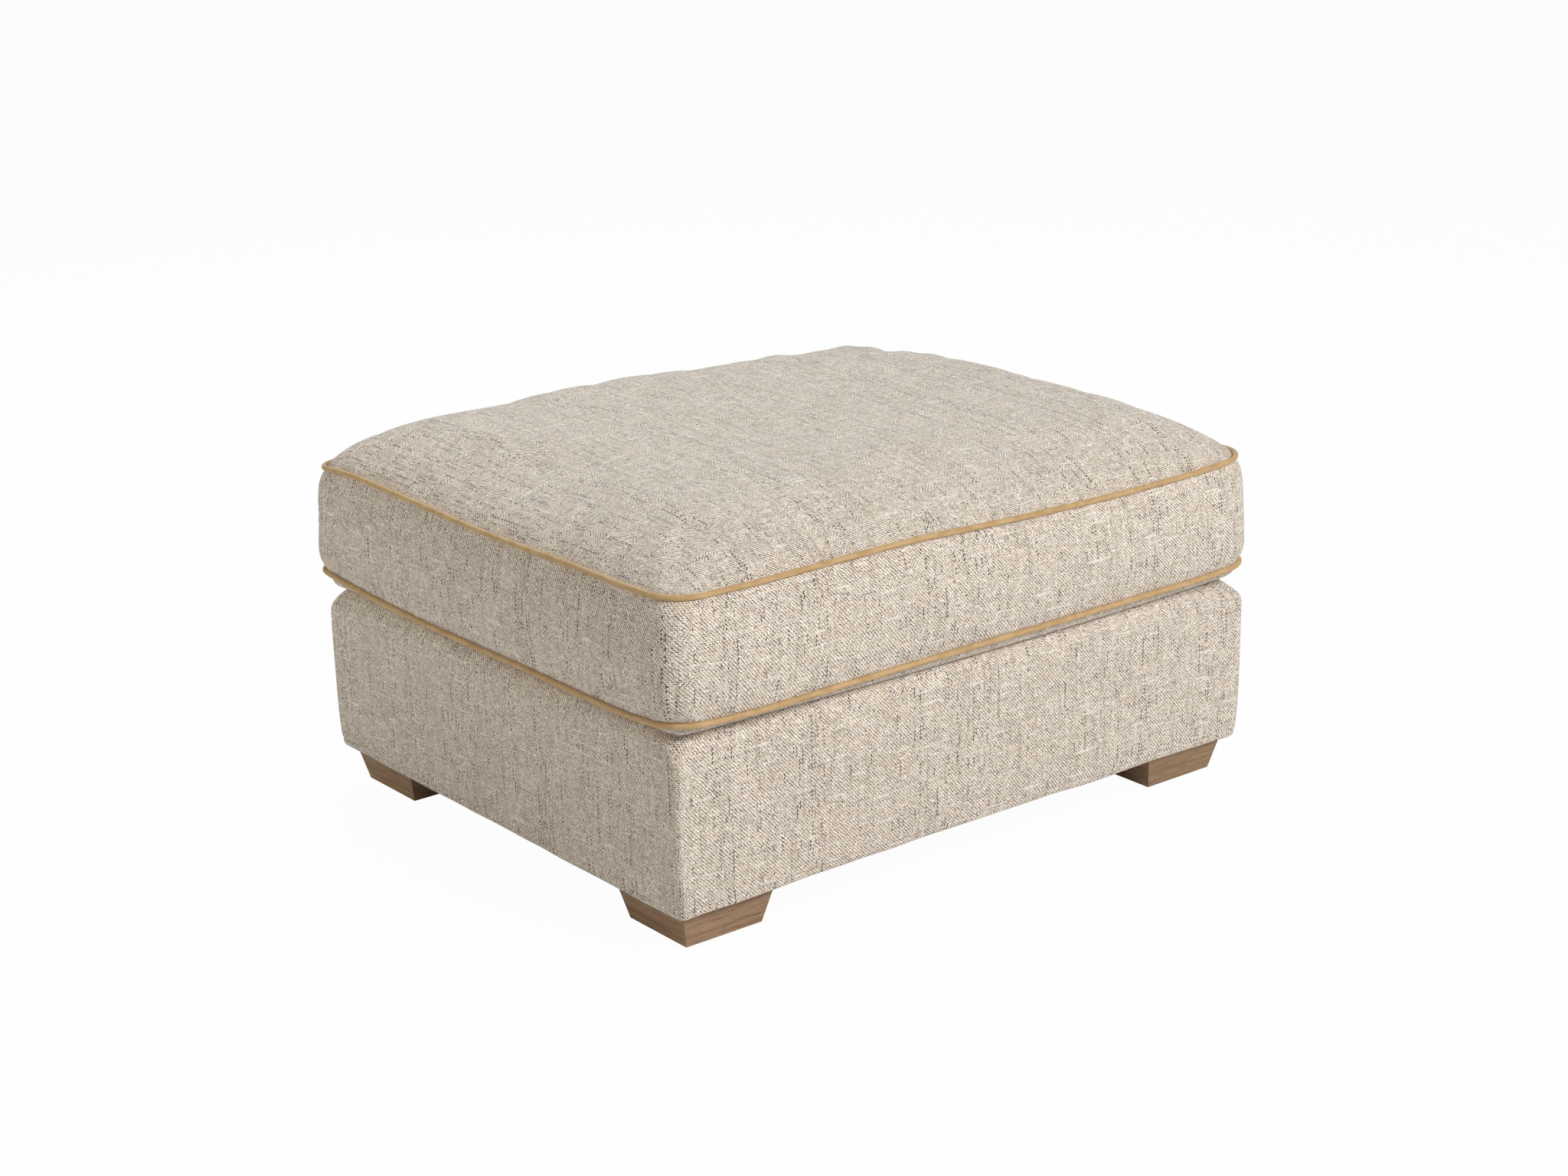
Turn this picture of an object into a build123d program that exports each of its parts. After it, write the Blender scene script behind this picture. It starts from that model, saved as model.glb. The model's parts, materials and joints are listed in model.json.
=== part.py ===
from build123d import *
import math
import os

# Upholstered ottoman: a covered timber base on four short feet, with a loose piped box cushion on it.
# Millimetres. The origin is on the floor, under the middle of the base. The long sides face -Y and +Y.

os.makedirs("parts", exist_ok=True)

# Clearances
overrun = 20.0
fit_gap = 0.1
layer_gap = 0.3
rest_gap = 0.3

# Base outline and covering
base_length = 924.0
base_depth = 776.0
base_corner = 14.0
flare = 4.5
cover_thickness = 2.0
padding_thickness = 10.0
board_thickness = 4.0
hem_radius = 6.0
shoulder_radius = 35.0
shoulder_angles = (0, 22.5, 45, 67.5, 90)
shoulder_corner_share = 0.6
cover_lap = 75.0
turn_under = 28.0

# Timber frame
frame_height = 202.0
post_side = 44.0
rail_thickness = 25.0
bottom_rail_height = 70.0
top_rail_height = 60.0
spreader_thickness = 22.0
block_reach = 150.0
block_thickness = 18.0
rail_screw_radius = 2.0
rail_screw_length = 45.0
rail_screw_head_radius = 4.2
rail_screw_head_depth = 2.4
rail_screw_place = 95.0

# Webbing and platform
strap_width = 50.0
strap_thickness = 1.2
crosswise_straps = 6
lengthwise_straps = 4
strap_end_inset = 4.0
strap_weave_share = 0.62
pad_thickness = 24.5

# Dust cover and its staples
dust_thickness = 1.0
staple_crown = 10.0
staple_wire_width = 1.2
staple_wire_thickness = 0.6
staple_leg = 6.0
staple_inset = 34.0
long_side_staples = 8
short_side_staples = 6
staple_spread_share = 0.58

# Feet
foot_height = 47.5
foot_top = 136.0
foot_bottom = 113.0
foot_setback_x = 21.0
foot_setback_y = 27.0
foot_edge = 1.2
glide_radius = 11.0
glide_height = 2.5
glide_edge = 0.8
glide_nail_radius = 1.3
glide_nail_length = 12.0
bolt_radius = 4.0
bolt_in_foot = 30.0
bolt_above_block = 4.0
tee_nut_barrel_radius = 5.2
tee_nut_flange_radius = 9.5
tee_nut_flange = 1.5
tee_nut_depth = 12.0

# Cushion outline: two piped seams, measured to the middle of the piping
bottom_seam_overhang = 16.0
top_seam_overhang = 10.0
seam_corner = 50.0
piping_radius = 4.1
piping_wall = 1.1
seam_clearance = 0.8
skin = 2.0
seam_share = 1.3

# Cushion heights and fullness
belly_height = 15.0
boxing_height = 146.0
crown_height = 56.0
boxing_swell = 3.5
belly_run = 20.0
crown_run = 320.0
crown_fullness = 6.0
crown_softness = 0.74
crown_corner_gain = 160.0
corner_limit_share = 0.9
belly_run_shares = (1.0, 0.78, 0.5, 0.26, 0.09, 0)
belly_height_shares = (0, 0.05, 0.2, 0.45, 0.76, 1.0)
boxing_height_shares = (0, 0.03, 0.08, 0.16, 0.26, 0.4, 0.6, 0.74, 0.84, 0.92, 0.97, 1.0)
boxing_full_shares = (0, 0.18, 0.5, 0.8, 0.95, 1.0, 1.0, 0.95, 0.8, 0.5, 0.18, 0)
boxing_taper_shares = (0, 0.04, 0.12, 0.26, 0.42, 0.5, 0.5, 0.62, 0.78, 0.9, 0.97, 1.0)
crown_run_shares = (0, 0.006, 0.016, 0.03, 0.05, 0.08, 0.12, 0.18, 0.26, 0.38, 0.55, 0.78, 1.0)

# Cushion filling
core_inset = 26.0
core_corner = 75.0
core_below = 6.0
core_above = 12.0

# Zip in the back of the boxing
zip_length = 560.0
zip_slot = 13.0
zip_slot_end = 6.0
zip_tape_width = 30.0
zip_tape_thickness = 1.0
zip_tape_end = 14.0
tooth_row_width = 2.2
tooth_row_thickness = 1.6
tooth_row_space = 1.8
zip_stop_length = 3.0
slider_length = 11.0
slider_width = 9.6
slider_wall = 1.1
slider_post_length = 3.5
slider_post_thickness = 1.0
slider_clearance = 0.35
slider_end_gap = 1.0
pull_bar_radius = 0.7
pull_bar_gap = 0.05
pull_eye_wall = 0.85
pull_eye_width = 3.4
pull_side_gap = 0.4
pull_ear = 1.2
pull_length = 22.0
pull_width = 6.5
pull_thickness = 1.2
pull_corner = 2.4
pocket_gap = 0.6

# Levels worked out from the sizes above
cover_bottom = glide_height + foot_height
frame_bottom = cover_bottom + cover_thickness
frame_top = frame_bottom + frame_height
pad_bottom = frame_top + 2 * strap_thickness + layer_gap
platform_top = pad_bottom + pad_thickness + layer_gap + cover_thickness
cushion_bottom = platform_top + rest_gap
bottom_seam = cushion_bottom + belly_height
top_seam = bottom_seam + boxing_height
zip_level = bottom_seam + boxing_height / 2

# Plan sizes worked out from the sizes above
board_inset = cover_thickness + padding_thickness
frame_inset = board_inset + board_thickness
frame_length = base_length - 2 * frame_inset
frame_depth = base_depth - 2 * frame_inset
foot_x = base_length / 2 - foot_setback_x - foot_bottom / 2
foot_y = base_depth / 2 - foot_setback_y - foot_bottom / 2
seam_length = base_length + 2 * bottom_seam_overhang
seam_depth = base_depth + 2 * bottom_seam_overhang
seam_step = bottom_seam_overhang - top_seam_overhang
seam_gap = piping_radius + seam_clearance
back_face = seam_depth / 2 + boxing_swell - seam_step / 2

corners = {"front_left": (-1, -1), "front_right": (1, -1), "back_left": (-1, 1), "back_right": (1, 1)}
sides = {"front": (0, -1), "back": (0, 1), "left": (-1, 0), "right": (1, 0)}


def finish(part, name):
    """Label a finished piece and write it to its own file."""
    part.label = name
    export_step(part, f"parts/{name}.step")


def stack(stations, length, depth, mode=Mode.ADD, ruled=True):
    """Loft through rounded rectangles, each given as inset, height and corner radius."""
    outlines = []
    for inset, height, corner in stations:
        with BuildSketch(Plane.XY.offset(height)) as outline:
            RectangleRounded(length - 2 * inset, depth - 2 * inset, corner)
        outlines.append(outline.sketch)
    loft(outlines, ruled=ruled, mode=mode)


def side_outline(side, length, depth, reach):
    """Corners of the strip along one side, between the two corner diagonals."""
    far_x, far_y = length / 2 + overrun, depth / 2 + overrun
    near_x, near_y = length / 2 - reach, depth / 2 - reach
    across, along = sides[side]
    if along:
        return [(-far_x, along * far_y), (far_x, along * far_y), (near_x, along * near_y), (-near_x, along * near_y)]
    return [(across * far_x, -far_y), (across * far_x, far_y), (across * near_x, near_y), (across * near_x, -near_y)]


def keep_side(side, length, depth, reach, low, high):
    """Keep only what lies along one side, between two levels."""
    with BuildSketch(Plane.XY.offset(low)) as strip:
        with BuildLine():
            Polyline(*side_outline(side, length, depth, reach), close=True)
        make_face()
    extrude(strip.sketch, amount=high - low, mode=Mode.INTERSECT)


def slab(length, depth, low, high, corner=0, mode=Mode.ADD):
    """A flat-sided block about the middle of the plan, with round upright corners if asked."""
    with BuildSketch(Plane.XY.offset(low)) as plan:
        if corner:
            RectangleRounded(length, depth, corner)
        else:
            Rectangle(length, depth)
    extrude(plan.sketch, amount=high - low, mode=mode)


def block(low, high, mode=Mode.ADD):
    """A flat-sided block between two opposite corners."""
    with BuildSketch(Plane.XY.offset(low[2])) as plan:
        with Locations(((low[0] + high[0]) / 2, (low[1] + high[1]) / 2)):
            Rectangle(high[0] - low[0], high[1] - low[1])
    extrude(plan.sketch, amount=high[2] - low[2], mode=mode)


# Base form: the outer shape of the base, or the same shape drawn in by the depth of the layers over it

flared_length = base_length + 2 * flare
flared_depth = base_depth + 2 * flare
shoulder_level = platform_top - shoulder_radius


def base_form(depth, mode=Mode.ADD):
    wall = [
        (flare + hem_radius + depth, cover_bottom + depth, base_corner - hem_radius),
        (flare + depth, cover_bottom + hem_radius, base_corner - depth),
        (depth, shoulder_level, base_corner - depth),
    ]
    radius = shoulder_radius - depth
    shoulder = []
    for angle in shoulder_angles:
        inset = shoulder_radius - radius * math.cos(math.radians(angle))
        rise = radius * math.sin(math.radians(angle))
        corner = base_corner - depth + shoulder_corner_share * (inset - depth)
        shoulder.append((inset, shoulder_level + rise, corner))
    stack(wall, flared_length, flared_depth, mode)
    stack(shoulder, flared_length, flared_depth, mode, ruled=False)


# Feet, glides, bolts and tee nuts

def foot_spots():
    return [(across * foot_x, along * foot_y) for across, along in corners.values()]


for name, (across, along) in corners.items():
    spot = (across * foot_x, along * foot_y)
    with BuildPart() as foot:
        for side, level in ((foot_bottom, glide_height), (foot_top, cover_bottom)):
            with BuildSketch(Plane.XY.offset(level)):
                with Locations(spot):
                    Rectangle(side, side)
        loft()
        fillet(foot.edges().filter_by(GeomType.LINE).group_by(Axis.Z)[:-1], radius=foot_edge)
        with Locations((*spot, cover_bottom)):
            Hole(radius=bolt_radius + fit_gap, depth=bolt_in_foot)
        with Locations(Plane((*spot, glide_height), z_dir=(0, 0, -1))):
            Hole(radius=glide_nail_radius + fit_gap, depth=glide_nail_length)
    finish(foot.part, f"foot_{name}")

with BuildPart() as foot_glides:
    with BuildSketch():
        with Locations(*foot_spots()):
            Circle(glide_radius)
    extrude(amount=glide_height)
    fillet(foot_glides.edges().group_by(Axis.Z)[0], radius=glide_edge)
    with BuildSketch(Plane.XY.offset(glide_height)):
        with Locations(*foot_spots()):
            Circle(glide_nail_radius)
    extrude(amount=glide_nail_length - layer_gap)
finish(foot_glides.part, "foot_glides")

block_top = frame_bottom + block_thickness
with BuildPart() as foot_bolts:
    with BuildSketch(Plane.XY.offset(cover_bottom - bolt_in_foot + layer_gap)):
        with Locations(*foot_spots()):
            Circle(bolt_radius)
    extrude(amount=block_top + bolt_above_block - (cover_bottom - bolt_in_foot + layer_gap))
finish(foot_bolts.part, "foot_bolts")

with BuildPart() as foot_tee_nuts:
    with BuildSketch(Plane.XY.offset(block_top - tee_nut_depth)):
        with Locations(*foot_spots()):
            Circle(tee_nut_barrel_radius)
    extrude(amount=tee_nut_depth)
    with BuildSketch(Plane.XY.offset(block_top)):
        with Locations(*foot_spots()):
            Circle(tee_nut_flange_radius)
    extrude(amount=tee_nut_flange)
    with BuildSketch(Plane.XY.offset(block_top - tee_nut_depth)):
        with Locations(*foot_spots()):
            Circle(bolt_radius + fit_gap)
    extrude(amount=tee_nut_depth + tee_nut_flange, mode=Mode.SUBTRACT)
finish(foot_tee_nuts.part, "foot_tee_nuts")

# Timber frame: posts, rails and the middle spreader

post_x = frame_length / 2 - post_side / 2
post_y = frame_depth / 2 - post_side / 2
for name, (across, along) in corners.items():
    with BuildPart() as corner_post:
        with BuildSketch(Plane.XY.offset(frame_bottom)):
            with Locations((across * post_x, along * post_y)):
                Rectangle(post_side, post_side)
        extrude(amount=frame_height)
    finish(corner_post.part, f"corner_post_{name}")

rail_levels = {
    "bottom": (frame_bottom, frame_bottom + bottom_rail_height),
    "top": (frame_top - top_rail_height, frame_top),
}
screw_level = frame_bottom + block_thickness / 2
screw_x = frame_length / 2 - rail_screw_place
screw_y = frame_depth / 2 - rail_screw_place


def screw_places(side):
    """Planes at the rail's outer face, looking inwards, one for each screw through that rail."""
    across, along = sides[side]
    if along:
        spots = [(x, along * frame_depth / 2, screw_level) for x in (-screw_x, screw_x)]
    else:
        spots = [(across * frame_length / 2, y, screw_level) for y in (-screw_y, screw_y)]
    return [Plane(spot, z_dir=(-across, -along, 0)) for spot in spots]


def screw_shape(gap, mode=Mode.ADD):
    """Countersunk screws from the rails into the corner blocks, grown by a gap where they are holes."""
    for side in sides:
        for place in screw_places(side):
            with BuildSketch(place) as shank:
                Circle(rail_screw_radius + gap)
            extrude(shank.sketch, amount=rail_screw_length + gap, mode=mode)
            with BuildSketch(place) as head:
                Circle(rail_screw_head_radius + gap)
            with BuildSketch(place.offset(rail_screw_head_depth)) as neck:
                Circle(rail_screw_radius + gap)
            loft([head.sketch, neck.sketch], mode=mode)


def staple_spots():
    """Middle of each staple on the dust cover's edge, with the turn of its crown."""
    spots = []
    for count, run, offset, turn in (
        (long_side_staples, base_length, base_depth / 2 - staple_inset, 0),
        (short_side_staples, base_depth, base_length / 2 - staple_inset, 90),
    ):
        for i in range(count):
            place = run * staple_spread_share * (i / (count - 1) - 0.5)
            for hand in (-1, 1):
                spots.append(((hand * offset, place) if turn else (place, hand * offset), turn))
    return spots


def staple_legs(gap, mode=Mode.ADD):
    """Both legs of every staple, grown by a gap where they are holes."""
    top = frame_bottom + staple_leg + gap
    with BuildSketch(Plane.XY.offset(frame_bottom - dust_thickness)) as legs:
        for spot, turn in staple_spots():
            with Locations(Location((*spot, 0), (0, 0, turn))):
                with GridLocations(staple_crown - staple_wire_width, 0, 2, 1):
                    Rectangle(staple_wire_width + 2 * gap, staple_wire_thickness + 2 * gap)
    extrude(legs.sketch, amount=top - (frame_bottom - dust_thickness), mode=mode)


for side, (across, along) in sides.items():
    for row, (low, high) in rail_levels.items():
        with BuildPart() as rail:
            if along:
                run, x, y = frame_length - 2 * post_side, 0, along * (frame_depth - rail_thickness) / 2
            else:
                run, x, y = frame_depth - 2 * post_side, across * (frame_length - rail_thickness) / 2, 0
            with BuildSketch(Plane.XY.offset(low)):
                with Locations((x, y)):
                    if along:
                        Rectangle(run, rail_thickness)
                    else:
                        Rectangle(rail_thickness, run)
            extrude(amount=high - low)
            if row == "bottom":
                screw_shape(fit_gap, Mode.SUBTRACT)
                staple_legs(fit_gap, Mode.SUBTRACT)
        finish(rail.part, f"{row}_rail_{side}")

with BuildPart() as spreader_rail:
    slab(spreader_thickness, frame_depth - 2 * rail_thickness, frame_bottom, frame_bottom + bottom_rail_height)
finish(spreader_rail.part, "spreader_rail")

with BuildPart() as corner_blocks:
    with BuildSketch(Plane.XY.offset(frame_bottom)):
        for across, along in corners.values():
            reach = [
                (post_side, rail_thickness),
                (block_reach, rail_thickness),
                (rail_thickness, block_reach),
                (rail_thickness, post_side),
                (post_side, post_side),
            ]
            points = [(across * (frame_length / 2 - u), along * (frame_depth / 2 - v)) for u, v in reach]
            with BuildLine():
                Polyline(*points, close=True)
            make_face()
    extrude(amount=block_thickness)
    with BuildSketch(Plane.XY.offset(frame_bottom)):
        with Locations(*foot_spots()):
            Circle(tee_nut_barrel_radius + fit_gap)
    extrude(amount=block_thickness, mode=Mode.SUBTRACT)
    screw_shape(fit_gap, Mode.SUBTRACT)
finish(corner_blocks.part, "corner_blocks")

with BuildPart() as corner_block_screws:
    screw_shape(0)
finish(corner_block_screws.part, "corner_block_screws")

# Side boards nailed to the frame, under the padding

for side, (across, along) in sides.items():
    with BuildPart() as side_board:
        with BuildSketch(Plane.XY.offset(frame_bottom)):
            if along:
                with Locations((0, along * (frame_depth + board_thickness) / 2)):
                    Rectangle(frame_length + 2 * board_thickness, board_thickness)
            else:
                with Locations((across * (frame_length + board_thickness) / 2, 0)):
                    Rectangle(board_thickness, frame_depth)
        extrude(amount=frame_height)
    finish(side_board.part, f"side_board_{side}")

# Webbing, woven over and under

def strap_centres(count, run):
    """Even places of the straps across a run, clear of the rails beside them."""
    pitch = (run - 2 * rail_thickness) / count
    return [pitch * (i + 0.5 - count / 2) for i in range(count)]


def strap_outline(crossings, reach, start_high):
    """Side outline of one strap: level over or under each crossing strap, and sloping between them."""
    path, high = [], start_high
    for place in crossings:
        level = frame_top + (strap_thickness if high else 0)
        half = strap_width * strap_weave_share
        path += [(place - half, level), (place + half, level)]
        high = not high
    path = [(-reach, frame_top), (-reach + strap_width * strap_weave_share, frame_top)] + path
    path += [(reach - strap_width * strap_weave_share, frame_top), (reach, frame_top)]
    return path + [(place, level + strap_thickness) for place, level in reversed(path)]


cross_places = strap_centres(crosswise_straps, frame_length)
long_places = strap_centres(lengthwise_straps, frame_depth)
with BuildPart() as webbing_crosswise:
    for i, x in enumerate(cross_places):
        with BuildSketch(Plane((x - strap_width / 2, 0, 0), x_dir=(0, 1, 0), z_dir=(1, 0, 0))):
            with BuildLine():
                Polyline(*strap_outline(long_places, frame_depth / 2 - strap_end_inset, i % 2 == 0), close=True)
            make_face()
        extrude(amount=strap_width)
finish(webbing_crosswise.part, "webbing_crosswise")

with BuildPart() as webbing_lengthwise:
    for j, y in enumerate(long_places):
        with BuildSketch(Plane((0, y + strap_width / 2, 0), x_dir=(1, 0, 0), z_dir=(0, -1, 0))):
            with BuildLine():
                Polyline(*strap_outline(cross_places, frame_length / 2 - strap_end_inset, j % 2 == 1), close=True)
            make_face()
        extrude(amount=strap_width)
finish(webbing_lengthwise.part, "webbing_lengthwise")

# Padding round the sides and the foam pad over the webbing

padding_depth = cover_thickness + layer_gap
board_length = frame_length + 2 * board_thickness + 2 * layer_gap
board_depth = frame_depth + 2 * board_thickness + 2 * layer_gap
with BuildPart() as padding_ring:
    base_form(padding_depth)
    slab(board_length, board_depth, 0, pad_bottom, mode=Mode.SUBTRACT)
    slab(seam_length, seam_depth, pad_bottom - layer_gap, platform_top + overrun, mode=Mode.SUBTRACT)
    slab(seam_length, seam_depth, 0, frame_bottom, mode=Mode.SUBTRACT)
for side in sides:
    with BuildPart() as side_padding:
        add(padding_ring.part)
        keep_side(side, flared_length, flared_depth, cover_lap, 0, platform_top)
    finish(side_padding.part, f"side_padding_{side}")

with BuildPart() as platform_pad:
    base_form(padding_depth)
    slab(seam_length, seam_depth, 0, pad_bottom, mode=Mode.SUBTRACT)
finish(platform_pad.part, "platform_pad")

# Fabric cover of the base, its platform cloth and the dust cover underneath

with BuildPart() as cover_shell:
    base_form(0)
    base_form(cover_thickness, Mode.SUBTRACT)
for side in sides:
    with BuildPart() as base_cover:
        add(cover_shell.part)
        keep_side(side, flared_length, flared_depth, cover_lap, 0, platform_top + overrun)
        under_length = base_length - 2 * turn_under
        under_depth = base_depth - 2 * turn_under
        slab(under_length, under_depth, 0, cover_bottom + cover_thickness + layer_gap, mode=Mode.SUBTRACT)
    finish(base_cover.part, f"base_cover_{side}")

with BuildPart() as platform_cloth:
    slab(
        flared_length - 2 * cover_lap,
        flared_depth - 2 * cover_lap,
        platform_top - cover_thickness,
        platform_top,
    )
finish(platform_cloth.part, "platform_cloth")

dust_inset = turn_under + layer_gap
with BuildPart() as dust_cover:
    slab(base_length - 2 * dust_inset, base_depth - 2 * dust_inset, frame_bottom - dust_thickness, frame_bottom)
    with BuildSketch(Plane.XY.offset(frame_bottom - dust_thickness)):
        with Locations(*foot_spots()):
            Circle(bolt_radius + fit_gap)
    extrude(amount=dust_thickness, mode=Mode.SUBTRACT)
    staple_legs(fit_gap, Mode.SUBTRACT)
finish(dust_cover.part, "dust_cover")

with BuildPart() as dust_cover_staples:
    staple_legs(0)
    with BuildSketch(Plane.XY.offset(frame_bottom - dust_thickness - staple_wire_thickness)):
        for spot, turn in staple_spots():
            with Locations(Location((*spot, 0), (0, 0, turn))):
                Rectangle(staple_crown, staple_wire_width)
    extrude(amount=staple_wire_thickness)
finish(dust_cover_staples.part, "dust_cover_staples")

# Cushion form: belly, boxing and crown, or the same drawn in by the depth of the layers over it

inner_corner = seam_corner - seam_gap


def belly_stations(depth):
    stations = []
    for run_share, height_share in zip(belly_run_shares, belly_height_shares):
        inset = seam_gap + belly_run * run_share + depth
        if height_share == 1:
            inset = seam_gap + depth * seam_share
        lift = depth * (1 - height_share)
        stations.append((inset, cushion_bottom + belly_height * height_share + lift, inner_corner))
    return stations


def boxing_stations(depth):
    stations = []
    for height_share, full, taper in zip(boxing_height_shares, boxing_full_shares, boxing_taper_shares):
        inset = seam_step * taper + seam_gap * (1 - full) - boxing_swell * full + depth
        if full == 0:
            inset += depth * (seam_share - 1)
        stations.append((inset, bottom_seam + boxing_height * height_share, inner_corner))
    return stations


def crown_rise(run):
    return crown_height * (1 - (1 - run / crown_run) ** crown_fullness) ** crown_softness


def crown_stations(depth):
    runs = [crown_run * share for share in crown_run_shares]
    stations = []
    for i, run in enumerate(runs):
        before, after = runs[max(i - 1, 0)], runs[min(i + 1, len(runs) - 1)]
        slope = math.atan2(crown_rise(after) - crown_rise(before), after - before)
        inset = seam_step + seam_gap + run + depth * math.sin(slope)
        height = top_seam + crown_rise(run) - depth * math.cos(slope)
        if i == 0:
            inset, height = seam_step + seam_gap + depth * seam_share, top_seam
        if i == len(runs) - 1:
            inset, height = seam_step + seam_gap + run, top_seam + crown_height - depth
        corner = inner_corner + crown_corner_gain * math.sqrt(run / crown_run)
        stations.append((inset, height, min(corner, corner_limit_share * (seam_depth / 2 - inset))))
    return stations


# Cushion cover panels, each the skin between the cushion form and the same form drawn in

with BuildPart() as cushion_top_panel:
    stack(crown_stations(0), seam_length, seam_depth)
    stack(crown_stations(skin), seam_length, seam_depth, Mode.SUBTRACT)
finish(cushion_top_panel.part, "cushion_top_panel")

with BuildPart() as cushion_bottom_panel:
    stack(belly_stations(0), seam_length, seam_depth)
    stack(belly_stations(skin), seam_length, seam_depth, Mode.SUBTRACT)
finish(cushion_bottom_panel.part, "cushion_bottom_panel")

with BuildPart() as boxing_ring:
    stack(boxing_stations(0), seam_length, seam_depth)
    stack(boxing_stations(skin), seam_length, seam_depth, Mode.SUBTRACT)

boxing_reach = 2 * inner_corner
for side in ("front", "left", "right"):
    with BuildPart() as boxing_panel:
        add(boxing_ring.part)
        keep_side(side, seam_length, seam_depth, boxing_reach, bottom_seam, top_seam)
    finish(boxing_panel.part, f"boxing_{side}")

slot_half = zip_length / 2 + zip_slot_end
for name, low, high in (("lower", bottom_seam, zip_level), ("upper", zip_level, top_seam)):
    with BuildPart() as boxing_half:
        add(boxing_ring.part)
        keep_side("back", seam_length, seam_depth, boxing_reach, low, high)
        block(
            (-slot_half, back_face - overrun, zip_level - zip_slot / 2),
            (slot_half, back_face + overrun, zip_level + zip_slot / 2),
            Mode.SUBTRACT,
        )
    finish(boxing_half.part, f"boxing_back_{name}")

# Piping: a covered cord along each seam

for name, overhang, level in (("top", top_seam_overhang, top_seam), ("bottom", bottom_seam_overhang, bottom_seam)):
    with BuildSketch(Plane.XY.offset(level)) as seam:
        RectangleRounded(base_length + 2 * overhang, base_depth + 2 * overhang, seam_corner)
    loop = seam.sketch.wire()
    section = Plane(loop @ 0, z_dir=loop % 0)
    with BuildPart() as piping:
        with BuildSketch(section):
            Circle(piping_radius)
            Circle(piping_radius - piping_wall, mode=Mode.SUBTRACT)
        sweep(path=loop)
    finish(piping.part, f"piping_{name}")
    with BuildPart() as piping_cord:
        with BuildSketch(section):
            Circle(piping_radius - piping_wall - fit_gap)
        sweep(path=loop)
    finish(piping_cord.part, f"piping_{name}_cord")

# Filling: a foam block in a fibre wrap, with room behind the zip

wrap_depth = skin + layer_gap
tape_outer = back_face - skin - layer_gap
tape_inner = tape_outer - zip_tape_thickness
slider_inner = tape_inner - slider_clearance - slider_wall
core_length = seam_length - 2 * core_inset
core_depth = seam_depth - 2 * core_inset
core_low = cushion_bottom + skin + core_below
core_high = top_seam + core_above

with BuildPart() as foam_core:
    slab(core_length, core_depth, core_low, core_high, core_corner)
finish(foam_core.part, "foam_core")

with BuildPart() as fibre_wrap:
    stack(boxing_stations(wrap_depth), seam_length, seam_depth)
    stack(belly_stations(wrap_depth), seam_length, seam_depth)
    stack(crown_stations(wrap_depth), seam_length, seam_depth)
    slab(
        core_length + 2 * layer_gap,
        core_depth + 2 * layer_gap,
        core_low - layer_gap,
        core_high + layer_gap,
        core_corner + layer_gap,
        Mode.SUBTRACT,
    )
    block(
        (-slot_half - zip_tape_end, slider_inner - pocket_gap, zip_level - zip_tape_width / 2 - layer_gap),
        (slot_half + zip_tape_end, back_face + overrun, zip_level + zip_tape_width / 2 + layer_gap),
        Mode.SUBTRACT,
    )
finish(fibre_wrap.part, "fibre_wrap")

# Zip: tape with a slit, two rows of teeth, end stops, slider and pull

tape_half = zip_length / 2 + zip_tape_end
with BuildPart() as zip_tape:
    block(
        (-tape_half, tape_inner, zip_level - zip_tape_width / 2),
        (tape_half, tape_outer, zip_level + zip_tape_width / 2),
    )
    block(
        (-zip_length / 2, tape_inner, zip_level - tooth_row_space / 2),
        (zip_length / 2, tape_outer, zip_level + tooth_row_space / 2),
        Mode.SUBTRACT,
    )
finish(zip_tape.part, "zip_tape")

teeth_outer = tape_outer + tooth_row_thickness
row_far = tooth_row_space / 2 + tooth_row_width
with BuildPart() as zip_teeth:
    for hand in (-1, 1):
        near, far = sorted((hand * tooth_row_space / 2, hand * row_far))
        block((-zip_length / 2, tape_outer, zip_level + near), (zip_length / 2, teeth_outer, zip_level + far))
finish(zip_teeth.part, "zip_teeth")

with BuildPart() as zip_stops:
    for hand in (-1, 1):
        near, far = sorted((hand * zip_length / 2, hand * (zip_length / 2 + zip_stop_length)))
        block((near, tape_outer, zip_level - row_far), (far, teeth_outer, zip_level + row_far))
finish(zip_stops.part, "zip_stops")

# Slider at its closed end, with a bar across two ears for the pull

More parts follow.
